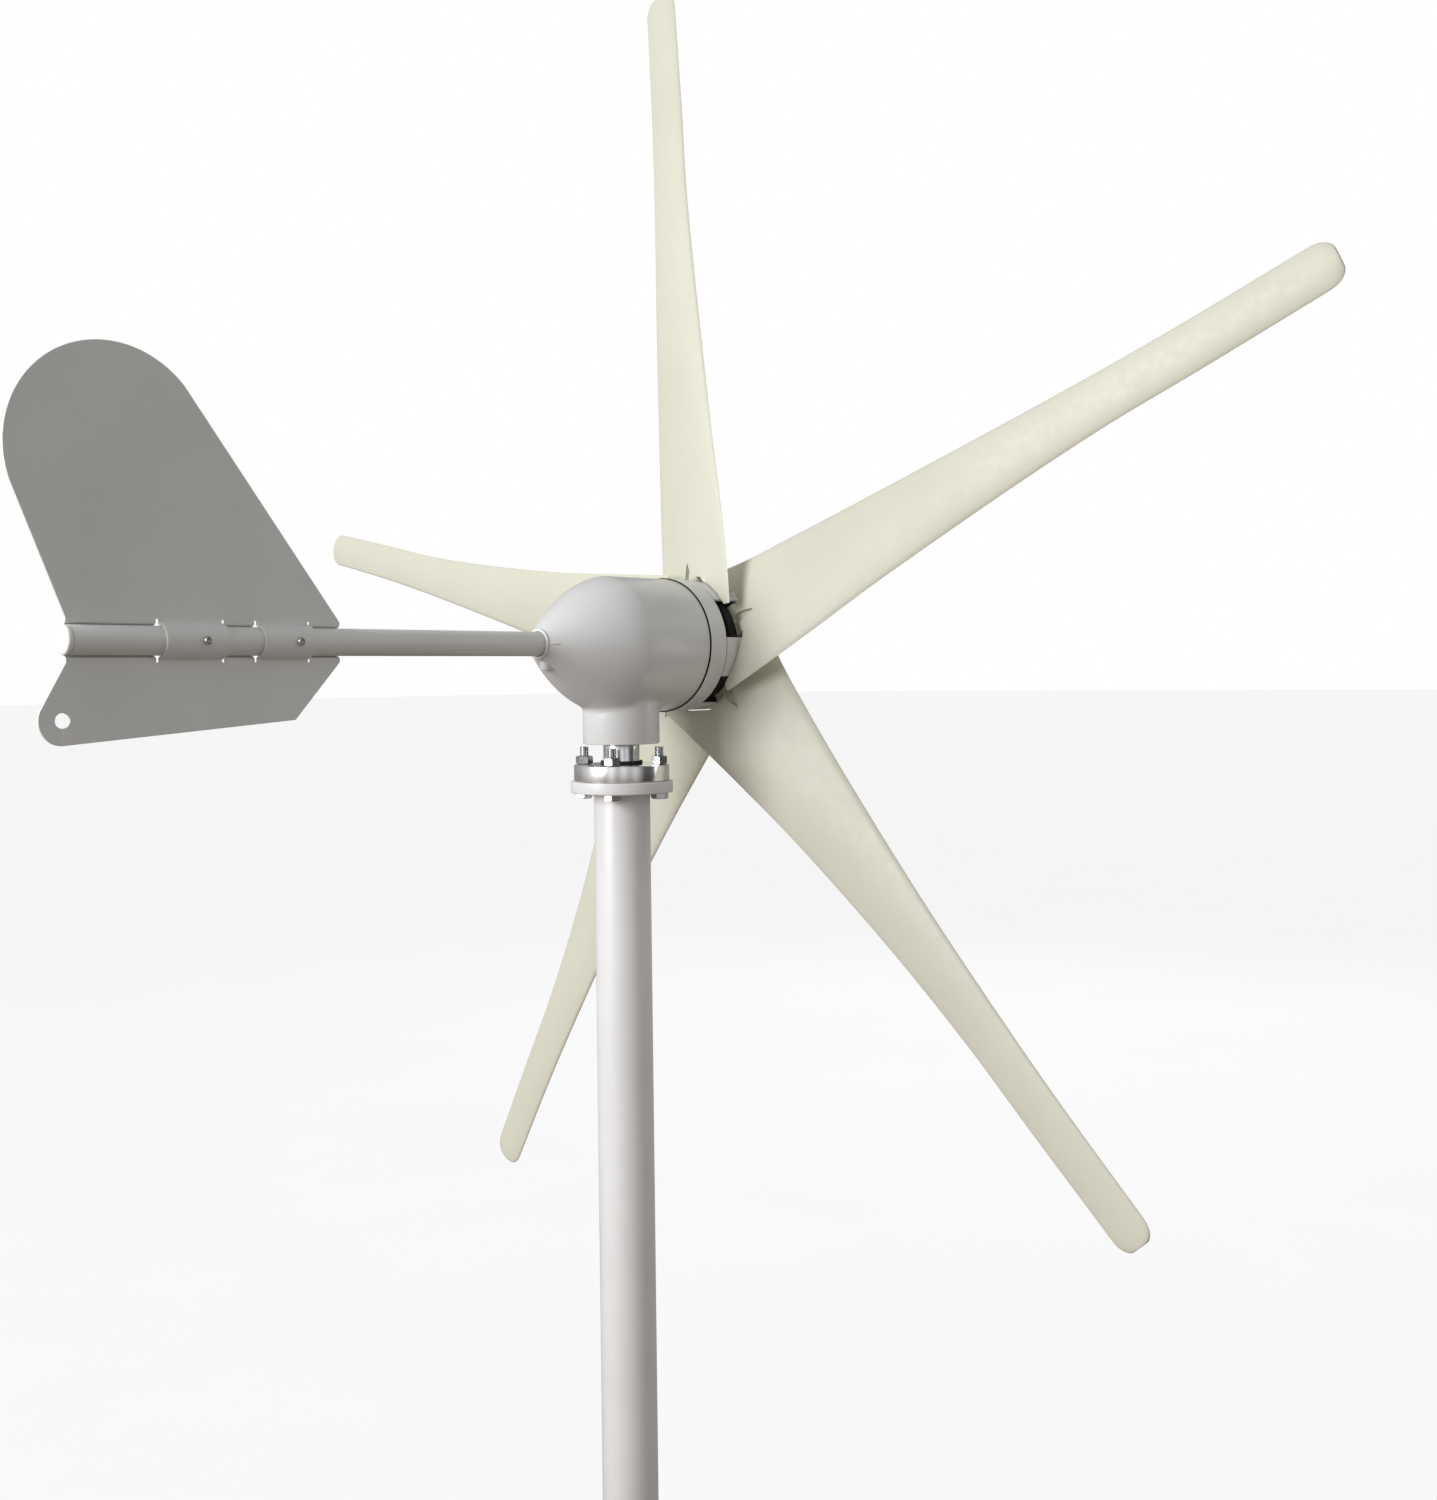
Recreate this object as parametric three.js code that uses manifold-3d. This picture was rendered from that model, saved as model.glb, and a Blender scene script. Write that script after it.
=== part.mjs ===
// A small horizontal-axis wind turbine on its mast: a five-blade rotor on a bullet-shaped
// generator housing, a tail boom with a sheet vane, and a bolted yaw flange on a steel mast.
//
// Frame: millimetres, +Z up the mast, +X upwind (tail to nose). The origin is the centre of
// the mast's foot, so the yaw axis is the Z axis and the rotor axis is parallel to X.

import * as THREE from 'three';
import { mergeVertices } from 'three/addons/utils/BufferGeometryUtils.js';
import Module from 'manifold-3d';

const wasm = await Module();
wasm.setup();

// ---------------------------------------------------------------- driving dimensions

const GAP = 0.3;                       // between pieces that touch

const MAST = { length: 700, radius: 24.15, wall: 3.2 };
const MAST_FLANGE = { radius: 44, thick: 10, bore: 20.9 };
const YAW_FLANGE = { radius: 41, thick: 13.7 };
const FLANGE_BOLTS = { count: 4, circle: 33.25, firstAngle: 30.6, thread: 4, hole: 4.4 };
const M8 = { hex: 13, head: 5.3, nut: 6.8, standsOut: 8 };

const MAST_TOP = MAST.length;
const JOINT_Z = MAST_TOP + GAP + MAST_FLANGE.thick;      // the two flanges meet here
const YAW_FLANGE_TOP = JOINT_Z + GAP + YAW_FLANGE.thick;

const SPINDLE = { radius: 15.7, seat: 15, top: 12, bore: 9, end: 812 };
const DUST_RING = { inner: 16, outer: 18.6, tall: 2.9 };
const LOCK_NUT = { inner: 12.3, outer: 19, tall: 6.2 };
const SLIP_RING = { inner: 12.3, outer: 14.3, bottom: 794, top: 808 };
const BRUSH_BLOCK = { half: 7, rear: -31.6, front: -28.2, reach: -14.7, foot: 786.3, arm: 796, top: 806 };
const NECK = { radius: 33, bore: 27.8, lip: 23.5, bottom: 742, shoulderTop: 786 };
const YAW_BEARING = { inner: 15.3, split: 20.9, outer: 27.5, height: 13, lowerZ: 748, upperZ: 768 };

const AXIS_Z = 827;                    // rotor axis
const HOUSING = { tail: -92, nose: 50.9, radius: 58.2, mouth: 14, wall: 3.7, taper: 72, taperPower: 1.5 };
const COVER = { nose: 72.4, radius: 59.3, rim: 4.6, front: 6.4, edge: 1.5 };
const COVER_SCREWS = { count: 3, circle: 53.3, firstAngle: 30, thread: 2, hole: 2.3, boss: 4.4 };
const COVER_SCREW_ENDS = { boss: 32, hole: 35, tip: 36, seat: 68.7, head: 72, headRadius: 3.6, sink: 4 };

const SHAFT = { rear: 18, seat: 8.5, radius: 10, thread: 8, step: 31, shoulder: 104, end: 122 };
const REAR_BEARING = { inner: 8.8, split: 13.1, outer: 17.2, x: 20, width: 10 };
const FRONT_BEARING = { inner: 10.3, split: 15.4, outer: 20.7, x: 60.3, width: 9.8 };
const STATOR = { radius: 48.6, bore: 28.4, x: 37.3, length: 22.7, slots: 9, slotHalf: 6 };
const WINDING = { inner: 30, outer: 46, rear: 33.6, front: 65.3 };
const MAGNET = { radius: 27.8, x: 38, length: 21.6 };
const SHAFT_SEAL = { rear: 72.8, front: 77.5, outer: 17 };

const HUB = { back: 87, front: 95.7, radius: 51, boss: 16, bossBack: 78.5 };
const SHANK = { back: 96, front: 104, width: 28, inner: 24, outer: 88 };
const CLAMP = { back: 104.3, front: 109.3, radius: 50 };
const SHAFT_NUT = { hex: 24, height: 10 };
const BLADE_BOLTS = { circles: [32, 44], thread: 3, hole: 3.3, hex: 10, head: 4, back: 88.5 };
const SPINNER = { radius: 58, wall: 2.5, skirtBack: 74, domeBack: 104.6, length: 60, slotHalf: 18.4 };

const BLADES = { count: 5, firstAngle: -6.25, radius: 615, planeX: 99.3, coning: 0.047, camber: 0.045 };
// A blade's root ends in an arc round the hub, straight from `corner` out to each edge. The
// arc's shape fades out between the radii `start` and `start` + `fade`.
const ROOT = { arc: 59.2, corner: 50.6, start: 64.5, fade: 64 };
const LEAF = { from: 48, to: 76, width: 8, depth: 3 };
// Stations along a blade: radius, leading and trailing edge off the blade's axis, pitch in
// degrees, thickness.
const STATIONS = [
  { r: 27, lead: -59, trail: 59, pitch: 19, thick: 6 },
  { r: 66, lead: -51, trail: 54, pitch: 15.5, thick: 6 },
  { r: 130, lead: -43.5, trail: 45.5, pitch: 11.3, thick: 6 },
  { r: 200, lead: -36.5, trail: 36.5, pitch: 7.5, thick: 5.4 },
  { r: 320, lead: -26.5, trail: 26, pitch: 1.5, thick: 4.6 },
  { r: 420, lead: -20, trail: 21, pitch: 0, thick: 4 },
  { r: 500, lead: -16.5, trail: 21, pitch: -1, thick: 3.6 },
  { r: 615, lead: -14.5, trail: 20, pitch: -1.5, thick: 3 },
];

const BOOM = { radius: 10, wall: 2, front: -62, rear: -496 };
const SET_SCREW = { x: -86, thread: 3, hole: 3.3, bossRadius: 5, bossDrop: 21.5 };
const VANE = { thick: 2, strap: 1.8, slotHalf: 10.4, reliefHalf: 14.5, hole: { x: -500.3, z: -51.3, r: 5 } };
const STRAPS = [[-434, -385], [-359.5, -316]];           // x-ranges of the sleeves on the near side
const RELIEF = 2;                                        // width of the slits at a strap's ends
const SLEEVES = { rear: -497.6, front: -289.6 };
const VANE_SCREWS = { thread: 2, hole: 2.3, head: 3.6, headTall: 2.4, hex: 7, nut: 3.2 };
const VANE_SCREW_XS = [-403.8, -330.4];

const DEG = Math.PI / 180;

const WIDE = 32;                       // facets round the housing, cover and spinner
const ROUND = 24;                      // facets round tubes, bearings and shafts
const SMALL = 8;                       // facets round bolts, screws and their holes

// ---------------------------------------------------------------- materials

const paint = (color, roughness) => new THREE.MeshStandardMaterial({ color, roughness, metalness: 0.1 });
const metal = (color, roughness) => new THREE.MeshStandardMaterial({ color, roughness, metalness: 1 });
const plastic = (color, roughness) => new THREE.MeshStandardMaterial({ color, roughness, metalness: 0 });

const LOOK = {
  mast: paint(0xd8d4d2, 0.5),
  housing: paint(0xa6a8a6, 0.35),
  vane: paint(0x969995, 0.45),
  blade: plastic(0xdad9c8, 0.5),
  spinner: plastic(0xe2e0d8, 0.4),
  cap: plastic(0xe8e8e6, 0.5),
  bright: metal(0xd6d8da, 0.25),
  zinc: metal(0xb9bcc0, 0.35),
  darkHub: metal(0x1c1c1d, 0.6),
  bearing: metal(0xb0b2b5, 0.2),
  steel: metal(0x8a8c90, 0.4),
  copper: metal(0xb06a3a, 0.4),
  rubber: plastic(0x141414, 0.8),
  insulator: plastic(0x2b2b2e, 0.6),
};

// ---------------------------------------------------------------- solids

// One closed mesh with merged vertices and its faces pointing out.
function closed(geometry) {
  const bare = geometry.clone();
  bare.deleteAttribute('normal');
  if (bare.attributes.uv) bare.deleteAttribute('uv');
  const merged = mergeVertices(bare, 1e-4);
  const p = merged.attributes.position;
  const corner = [0, 1, 2].map(() => new THREE.Vector3());
  const faces = [];
  let volume = 0;
  for (let i = 0; i < merged.index.count; i += 3) {
    const ids = [0, 1, 2].map((k) => merged.index.getX(i + k));
    if (new Set(ids).size < 3) continue;
    ids.forEach((id, k) => corner[k].fromBufferAttribute(p, id));
    volume += corner[0].dot(corner[1].clone().cross(corner[2]));
    faces.push(ids);
  }
  if (volume < 0) faces.forEach((ids) => ids.reverse());
  merged.setIndex(faces.flat());
  return merged;
}

function toSolid(geometry) {
  const mesh = closed(geometry);
  const vertProperties = new Float32Array(mesh.attributes.position.array);
  const triVerts = new Uint32Array(mesh.index.array);
  return new wasm.Manifold(new wasm.Mesh({ numProp: 3, vertProperties, triVerts }));
}

function fromSolid(solid) {
  const mesh = solid.getMesh();
  const geometry = new THREE.BufferGeometry();
  geometry.setAttribute('position', new THREE.BufferAttribute(mesh.vertProperties, 3));
  geometry.setIndex(new THREE.BufferAttribute(mesh.triVerts, 1));
  return geometry;
}

// The first geometry joined with `adds`, then cut by `cuts`.
function shaped(first, { adds = [], cuts = [] }) {
  const joined = adds.reduce((solid, g) => solid.add(toSolid(g)), toSolid(first));
  return fromSolid(cuts.reduce((solid, g) => solid.subtract(toSolid(g)), joined));
}

// Turned shapes: `profile` is a list of [along, radius] that closes on itself or on the axis.
function turned(profile, segments) {
  const points = profile.map(([along, radius]) => new THREE.Vector2(radius, along));
  if (profile[0][1] > 0) points.push(points[0].clone());
  return closed(new THREE.LatheGeometry(points, segments));
}
const turnedX = (profile, segments = ROUND) => turned(profile, segments).rotateZ(-Math.PI / 2);
const turnedZ = (profile, segments = ROUND) => turned(profile, segments).rotateX(Math.PI / 2);

const ring = (from, to, inner, outer) => [[from, inner], [from, outer], [to, outer], [to, inner]];
const rod = (from, to, radius) => [[from, 0], [from, radius], [to, radius], [to, 0]];

// A hexagonal prism along Z, `across` its flats.
function hexZ(across, from, to) {
  return new THREE.CylinderGeometry(across / Math.sqrt(3), across / Math.sqrt(3), to - from, 6)
    .rotateX(Math.PI / 2)
    .translate(0, 0, (from + to) / 2);
}

const bar = (from, to, radius) => turnedZ(rod(from, to, radius), SMALL);
const zToX = (geometry) => geometry.rotateY(Math.PI / 2);
const zToY = (geometry) => geometry.rotateX(-Math.PI / 2);
const box = (x, y, z) => new THREE.BoxGeometry(x[1] - x[0], y[1] - y[0], z[1] - z[0])
  .translate((x[0] + x[1]) / 2, (y[0] + y[1]) / 2, (z[0] + z[1]) / 2);

// A bolt along Z with its head below `seat` and its shank up to `tip`.
function boltZ({ hex, head, thread }, seat, tip) {
  return shaped(hexZ(hex, seat - head, seat), { adds: [bar(seat - head / 2, tip, thread)] });
}

// A closed skin through equal-length loops of points. Each loop goes out along one side and
// back along the other, so a strip between its two sides closes each end.
function loft(loops) {
  const count = loops[0].length;
  const flat = loops.flat().flatMap((v) => [v.x, v.y, v.z]);
  const faces = [];
  for (let row = 0; row + 1 < loops.length; row += 1) {
    for (let i = 0; i < count; i += 1) {
      const j = (i + 1) % count;
      const a = row * count + i;
      const b = row * count + j;
      faces.push(a, b, b + count, a, b + count, a + count);
    }
  }
  for (const [row, flip] of [[0, true], [loops.length - 1, false]]) {
    for (let i = 0; i + 1 < count / 2; i += 1) {
      const [a, b, c, d] = [i, i + 1, count - 2 - i, count - 1 - i].map((id) => id + row * count);
      faces.push(...(flip ? [c, b, a, d, c, a] : [a, b, c, a, c, d]));
    }
  }
  const geometry = new THREE.BufferGeometry();
  geometry.setAttribute('position', new THREE.Float32BufferAttribute(flat, 3));
  geometry.setIndex(faces);
  return closed(geometry);
}

// ---------------------------------------------------------------- scene graph

const turbine = new THREE.Group();
const nacelle = new THREE.Group();      // turns about Z
const rotor = new THREE.Group();        // turns about the rotor axis
nacelle.position.z = AXIS_Z;
turbine.add(nacelle);
nacelle.add(rotor);

const each = (count, make) => Array.from({ length: count }, (_, i) => make(i));
const fromAxis = (z) => z - AXIS_Z;      // a height from the mast's foot, in the nacelle's frame

function place(group, name, geometry, material) {
  const mesh = new THREE.Mesh(geometry, material);
  mesh.name = name;
  group.add(mesh);
  return mesh;
}

// ---------------------------------------------------------------- mast and yaw flange

const boltAngle = (i, pattern) => (pattern.firstAngle + (i * 360) / pattern.count) * DEG;
const onCircle = (geometry, i, pattern) => geometry.translate(
  pattern.circle * Math.cos(boltAngle(i, pattern)),
  pattern.circle * Math.sin(boltAngle(i, pattern)),
  0,
);

function flangeHoles(from, to) {
  const { count, hole } = FLANGE_BOLTS;
  return each(count, (i) => onCircle(bar(from - 1, to + 1, hole), i, FLANGE_BOLTS));
}

function addMast() {
  const tube = turnedZ(ring(0, MAST_TOP, MAST.radius - MAST.wall, MAST.radius));
  place(turbine, 'mast_tube', tube, LOOK.mast);

  const from = MAST_TOP + GAP;
  const plate = turnedZ(ring(from, JOINT_Z, MAST_FLANGE.bore, MAST_FLANGE.radius), WIDE);
  place(turbine, 'mast_flange', shaped(plate, { cuts: flangeHoles(from, JOINT_Z) }), LOOK.mast);
}

function addYawShaft() {
  const seatZ = YAW_BEARING.lowerZ;
  const stepZ = YAW_BEARING.upperZ + YAW_BEARING.height + 3;
  const spindle = turnedZ([
    [JOINT_Z + GAP, SPINDLE.bore],
    [JOINT_Z + GAP, YAW_FLANGE.radius],
    [YAW_FLANGE_TOP, YAW_FLANGE.radius],
    [YAW_FLANGE_TOP, SPINDLE.radius],
    [seatZ - GAP, SPINDLE.radius],
    [seatZ - GAP, SPINDLE.seat],
    [stepZ, SPINDLE.seat],
    [stepZ, SPINDLE.top],
    [SPINDLE.end, SPINDLE.top],
    [SPINDLE.end, SPINDLE.bore],
  ], WIDE);
  place(turbine, 'yaw_shaft', shaped(spindle, { cuts: flangeHoles(JOINT_Z, YAW_FLANGE_TOP) }), LOOK.bright);

  const stood = (part, from) => turnedZ(ring(from, from + part.tall, part.inner, part.outer));
  place(turbine, 'yaw_dust_ring', stood(DUST_RING, YAW_FLANGE_TOP + GAP), LOOK.rubber);
  place(turbine, 'yaw_lock_nut', stood(LOCK_NUT, stepZ + GAP), LOOK.steel);
  const collector = turnedZ(ring(SLIP_RING.bottom, SLIP_RING.top, SLIP_RING.inner, SLIP_RING.outer));
  place(turbine, 'slip_ring', collector, LOOK.copper);

  const { lowerZ, upperZ, height, inner, split } = YAW_BEARING;
  for (const [name, z] of [['lower', lowerZ], ['upper', upperZ]]) {
    const race = turnedZ(ring(z, z + height, inner, split - GAP));
    place(turbine, `yaw_bearing_inner_${name}`, race, LOOK.bearing);
  }
}

function addFlangeBolts() {
  const nutFrom = YAW_FLANGE_TOP + GAP;
  const nutTo = nutFrom + M8.nut;
  each(FLANGE_BOLTS.count, (i) => {
    const bolt = boltZ({ ...M8, thread: FLANGE_BOLTS.thread }, MAST_TOP, nutTo + M8.standsOut);
    place(turbine, `flange_bolt_${i + 1}`, onCircle(bolt, i, FLANGE_BOLTS), LOOK.zinc);
    const nut = shaped(hexZ(M8.hex, nutFrom, nutTo), {
      cuts: [bar(nutFrom - 1, nutTo + 1, FLANGE_BOLTS.hole)],
    });
    place(turbine, `flange_nut_${i + 1}`, onCircle(nut, i, FLANGE_BOLTS), LOOK.zinc);
  });
}

// ---------------------------------------------------------------- housing

// Outer radius of the housing: straight at the front, tapering to the boom's mouth.
function housingRadius(x) {
  const along = Math.min(1, (x - HOUSING.tail) / HOUSING.taper);
  return HOUSING.mouth + (HOUSING.radius - HOUSING.mouth) * (1 - (1 - along) ** HOUSING.taperPower);
}

function housingShell() {
  const steps = 8;
  const taper = each(steps + 1, (i) => HOUSING.tail + (HOUSING.taper * i) / steps);
  const outer = taper.map((x) => [x, housingRadius(x)]);
  const inner = taper.filter((x) => x > BOOM.front + 8).map((x) => [x, housingRadius(x) - HOUSING.wall]);
  const bore = BOOM.radius + GAP;
  return turnedX([
    [HOUSING.tail, bore],
    ...outer,
    [HOUSING.nose, HOUSING.radius],
    [HOUSING.nose, HOUSING.radius - HOUSING.wall],
    ...inner.reverse(),
    [BOOM.front + 8, bore],
  ], WIDE);
}

function bearingWeb() {
  const { x, width, outer } = REAR_BEARING;
  return turnedX([
    [x - 2, outer - 3], [x - 2, HOUSING.radius - 1], [x + 2, HOUSING.radius - 1], [x + 2, outer + 5],
    [x + width, outer + 5], [x + width, outer + GAP], [x - GAP, outer + GAP], [x - GAP, outer - 3],
  ]);
}

// A turned shape along X at each cover screw.
function atCoverScrews(profile) {
  const { count, circle, firstAngle } = COVER_SCREWS;
  return each(count, (i) => turnedX(profile, SMALL)
    .translate(0, 0, circle)
    .rotateX((firstAngle + (i * 360) / count) * DEG));
}

function neckSolids() {
  const { bore, lip, bottom, radius, shoulderTop } = NECK;
  const [foot, shoulder] = [fromAxis(bottom), fromAxis(shoulderTop)];
  const lowerEnd = fromAxis(YAW_BEARING.lowerZ + YAW_BEARING.height) + GAP;
  const upperStart = fromAxis(YAW_BEARING.upperZ) - GAP;
  return {
    neck: turnedZ(rod(foot, shoulder, radius)),
    bores: [
      turnedZ(rod(foot - 1, lowerEnd, bore)),
      turnedZ(rod(foot, shoulder + 30, lip)),
      turnedZ(rod(upperStart, shoulder + 30, bore)),
    ],
  };
}

function addHousing() {
  const { neck, bores } = neckSolids();
  const { x, bossDrop, bossRadius, hole } = SET_SCREW;
  const setBoss = bar(-bossDrop, -BOOM.radius - 1, bossRadius).translate(x, 0, 0);
  const setHole = bar(-HOUSING.radius, -BOOM.radius, hole).translate(x, 0, 0);
  const { tail, nose, mouth } = HOUSING;
  const mouthRing = turnedX(ring(tail - 1, tail + 3, BOOM.radius + GAP, mouth + 1.2));
  const boomBore = turnedX(rod(tail - 2, BOOM.front + 6, BOOM.radius + GAP));
  const screwBosses = atCoverScrews(rod(COVER_SCREW_ENDS.boss, nose, COVER_SCREWS.boss));
  const screwHoles = atCoverScrews(rod(COVER_SCREW_ENDS.hole, nose + 1, COVER_SCREWS.hole));
  const housing = shaped(housingShell(), {
    adds: [neck, bearingWeb(), mouthRing, setBoss, ...screwBosses],
    cuts: [...bores, boomBore, setHole, ...screwHoles],
  });
  place(nacelle, 'body_housing', housing, LOOK.housing);
}

function addFrontCover() {
  const from = HOUSING.nose + GAP;
  const { nose, radius, rim, edge } = COVER;
  const wall = nose - COVER.front;
  const { outer, x, width } = FRONT_BEARING;
  const pocket = outer + GAP;
  const shell = turnedX([
    [from, radius - rim],
    [from, radius],
    [nose - edge, radius],
    [nose, radius - edge],
    [nose, outer - 4],
    [x + width + GAP, outer - 4],
    [x + width + GAP, pocket],
    [x, pocket],
    [x, pocket + 5],
    [wall, pocket + 5],
    [wall, radius - rim],
  ], WIDE);
  const { tip, seat, head, headRadius, sink } = COVER_SCREW_ENDS;
  const { boss, hole, thread } = COVER_SCREWS;
  const cover = shaped(shell, {
    adds: atCoverScrews(rod(from, wall + 1, boss)),
    cuts: [...atCoverScrews(rod(from - 1, nose + 1, hole)), ...atCoverScrews(rod(seat, nose + 1, sink))],
  });
  place(nacelle, 'front_cover', cover, LOOK.housing);

  const under = seat + GAP;
  const screws = atCoverScrews([
    [tip, 0], [tip, thread], [under, thread], [under, headRadius], [head, headRadius], [head, 0],
  ]);
  screws.forEach((screw, i) => place(nacelle, `cover_screw_${i + 1}`, screw, LOOK.zinc));
}

function addNeckParts() {
  const { lowerZ, upperZ, height, split, outer } = YAW_BEARING;
  for (const [name, z] of [['lower', lowerZ], ['upper', upperZ]]) {
    const race = turnedZ(ring(fromAxis(z), fromAxis(z + height), split, outer));
    place(nacelle, `yaw_bearing_outer_${name}`, race, LOOK.bearing);
  }
  const { half, rear, front, reach, foot, arm, top } = BRUSH_BLOCK;
  const post = box([rear, front], [-half, half], [fromAxis(foot), fromAxis(top)]);
  const holder = box([rear, reach], [-half, half], [fromAxis(arm), fromAxis(top)]);
  place(nacelle, 'brush_block', shaped(post, { adds: [holder] }), LOOK.insulator);
}

function addGenerator() {
  const slotRadius = (WINDING.inner + WINDING.outer) / 2;
  const bars = (half, from, to) => {
    const tall = [slotRadius - STATOR.slotHalf - half, slotRadius + STATOR.slotHalf + half];
    const pitch = (2 * Math.PI) / STATOR.slots;
    return each(STATOR.slots, (i) => box([from, to], [-half, half], tall).rotateX(i * pitch));
  };
  const end = STATOR.x + STATOR.length;
  const core = turnedX(ring(STATOR.x, end, STATOR.bore, STATOR.radius), WIDE);
  place(nacelle, 'stator_core', shaped(core, { cuts: bars(2.6, STATOR.x - 1, end + 1) }), LOOK.steel);

  const rearTurns = turnedX(ring(WINDING.rear, STATOR.x - GAP, WINDING.inner, WINDING.outer));
  const frontTurns = turnedX(ring(end + GAP, WINDING.front, WINDING.inner, WINDING.outer));
  const coils = shaped(rearTurns, { adds: [frontTurns, ...bars(2.2, WINDING.rear + 1, WINDING.front - 1)] });
  place(nacelle, 'stator_winding', coils, LOOK.copper);

  for (const [name, bearing] of [['rear', REAR_BEARING], ['front', FRONT_BEARING]]) {
    const { x, width, inner, split, outer } = bearing;
    const outerRace = turnedX(ring(x, x + width, split, outer));
    const innerRace = turnedX(ring(x, x + width, inner, split - GAP));
    place(nacelle, `${name}_bearing_outer`, outerRace, LOOK.bearing);
    place(rotor, `${name}_bearing_inner`, innerRace, LOOK.bearing);
  }
}

// ---------------------------------------------------------------- tail

const screwBore = () => zToY(bar(-20, 20, VANE_SCREWS.hole));
const vaneScrewHoles = () => VANE_SCREW_XS.map((x) => screwBore().translate(x, 0, 0));

function addBoom() {
  const { radius, wall, front, rear } = BOOM;
  const tube = shaped(turnedX(ring(rear, front, radius - wall, radius)), { cuts: vaneScrewHoles() });
  place(nacelle, 'tail_boom', tube, LOOK.housing);

  const cap = turnedX([
    [rear - 4, 0], [rear - 4, radius - 1.5], [rear - 2.5, radius], [rear - GAP, radius],
    [rear - GAP, radius - wall - GAP], [rear + 10, radius - wall - GAP], [rear + 10, 0],
  ]);
  place(nacelle, 'boom_end_cap', cap, LOOK.cap);

  const screw = bar(1 - SET_SCREW.bossDrop, -radius - GAP, SET_SCREW.thread);
  place(nacelle, 'boom_set_screw', screw.translate(SET_SCREW.x, 0, 0), LOOK.zinc);
}

// The vane's outline in the X-Z plane: a round crown, a straight raked edge down each side
// and a lower lobe with its hanging hole.
function vaneOutline() {
  const shape = new THREE.Shape();
  shape.moveTo(-289, 10);
  shape.lineTo(-416, 172);
  shape.absarc(-464, 122, 72, 43 * DEG, 199 * DEG, false);
  shape.lineTo(-498, 10);
  shape.lineTo(-498, -12.7);
  shape.lineTo(-514.8, -45);
  shape.absarc(VANE.hole.x, VANE.hole.z, 16, 157 * DEG, 278 * DEG, false);
  shape.lineTo(-328, -55.5);
  shape.lineTo(-289.5, -12.5);
  shape.closePath();
  const hole = new THREE.Path();
  hole.absarc(VANE.hole.x, VANE.hole.z, VANE.hole.r, 0, 2 * Math.PI, true);
  shape.holes.push(hole);
  return shape;
}

// A half sleeve round the boom from x0 to x1, on the -Y side (side = -1) or the +Y side.
function sleeve(x0, x1, side) {
  const inner = BOOM.radius + GAP;
  const tube = turnedX(ring(x0, x1, inner, inner + VANE.strap));
  const keep = side < 0 ? [-VANE.thick / 2, 20] : [-20, VANE.thick / 2];
  return shaped(tube, { cuts: [box([x0 - 1, x1 + 1], keep, [-9.8, 9.8])] });
}

function addVane() {
  const { thick, slotHalf, reliefHalf } = VANE;
  const flat = { depth: thick, bevelEnabled: false, curveSegments: 12 };
  const sheet = new THREE.ExtrudeGeometry(vaneOutline(), flat)
    .rotateX(Math.PI / 2)
    .translate(0, thick / 2, 0);
  const slot = box([-520, -280], [-5, 5], [-slotHalf, slotHalf]);
  const edges = STRAPS.flat();
  const farRanges = [[SLEEVES.rear, edges[0]], [edges[1], edges[2]], [edges[3], SLEEVES.front]];
  const sleeves = [
    ...STRAPS.map(([a, b]) => sleeve(a + RELIEF / 2, b - RELIEF / 2, -1)),
    ...farRanges.map(([a, b]) => sleeve(a + RELIEF / 2, b - RELIEF / 2, 1)),
  ];
  const slits = edges.map((x) => box([x - RELIEF / 2, x + RELIEF / 2], [-16, 16], [-reliefHalf, reliefHalf]));
  const tubeRoom = turnedX(rod(-530, -280, BOOM.radius + GAP));
  const vane = shaped(shaped(sheet, { cuts: [slot] }), {
    adds: sleeves,
    cuts: [...slits, ...vaneScrewHoles(), tubeRoom],
  });
  place(nacelle, 'tail_vane', vane, LOOK.vane);
  addVaneScrews();
}

// Each screw's head is on the near strap, and its nut against the boom behind.
function addVaneScrews() {
  const { thread, hole, head, headTall, hex, nut } = VANE_SCREWS;
  const under = -(BOOM.radius + GAP + VANE.strap + GAP);
  const crown = under - headTall;
  const nutSeat = BOOM.radius + GAP;
  const tip = nutSeat + nut + 2;
  VANE_SCREW_XS.forEach((x, i) => {
    const screw = turnedZ([
      [crown, 0], [crown, head / 1.5], [crown + headTall / 2, head], [under, head],
      [under, thread], [tip, thread], [tip, 0],
    ], SMALL);
    place(nacelle, `vane_screw_${i + 1}`, zToY(screw).translate(x, 0, 0), LOOK.zinc);
    const nutBody = shaped(hexZ(hex, nutSeat, nutSeat + nut), { cuts: [bar(0, tip, hole)] });
    place(nacelle, `vane_nut_${i + 1}`, zToY(nutBody).translate(x, 0, 0), LOOK.zinc);
  });
}

// ---------------------------------------------------------------- rotor

// A value from STATIONS at a radius, by smooth (Catmull-Rom) interpolation.
function atRadius(key, radius) {
  const last = STATIONS.length - 1;
  let i = 0;
  while (i < last - 1 && STATIONS[i + 1].r < radius) i += 1;
  const [before, a, b, after] = [i - 1, i, i + 1, i + 2].map((k) => STATIONS[Math.min(last, Math.max(0, k))]);
  const span = b.r - a.r;
  const t = Math.min(1, Math.max(0, (radius - a.r) / span));
  const slopeA = ((b[key] - before[key]) / (b.r - before.r)) * span;
  const slopeB = ((after[key] - a[key]) / (after.r - a.r)) * span;
  return (2 * t ** 3 - 3 * t ** 2 + 1) * a[key] + (t ** 3 - 2 * t ** 2 + t) * slopeA
    + (3 * t ** 2 - 2 * t ** 3) * b[key] + (t ** 3 - t ** 2) * slopeB;
}

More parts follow.
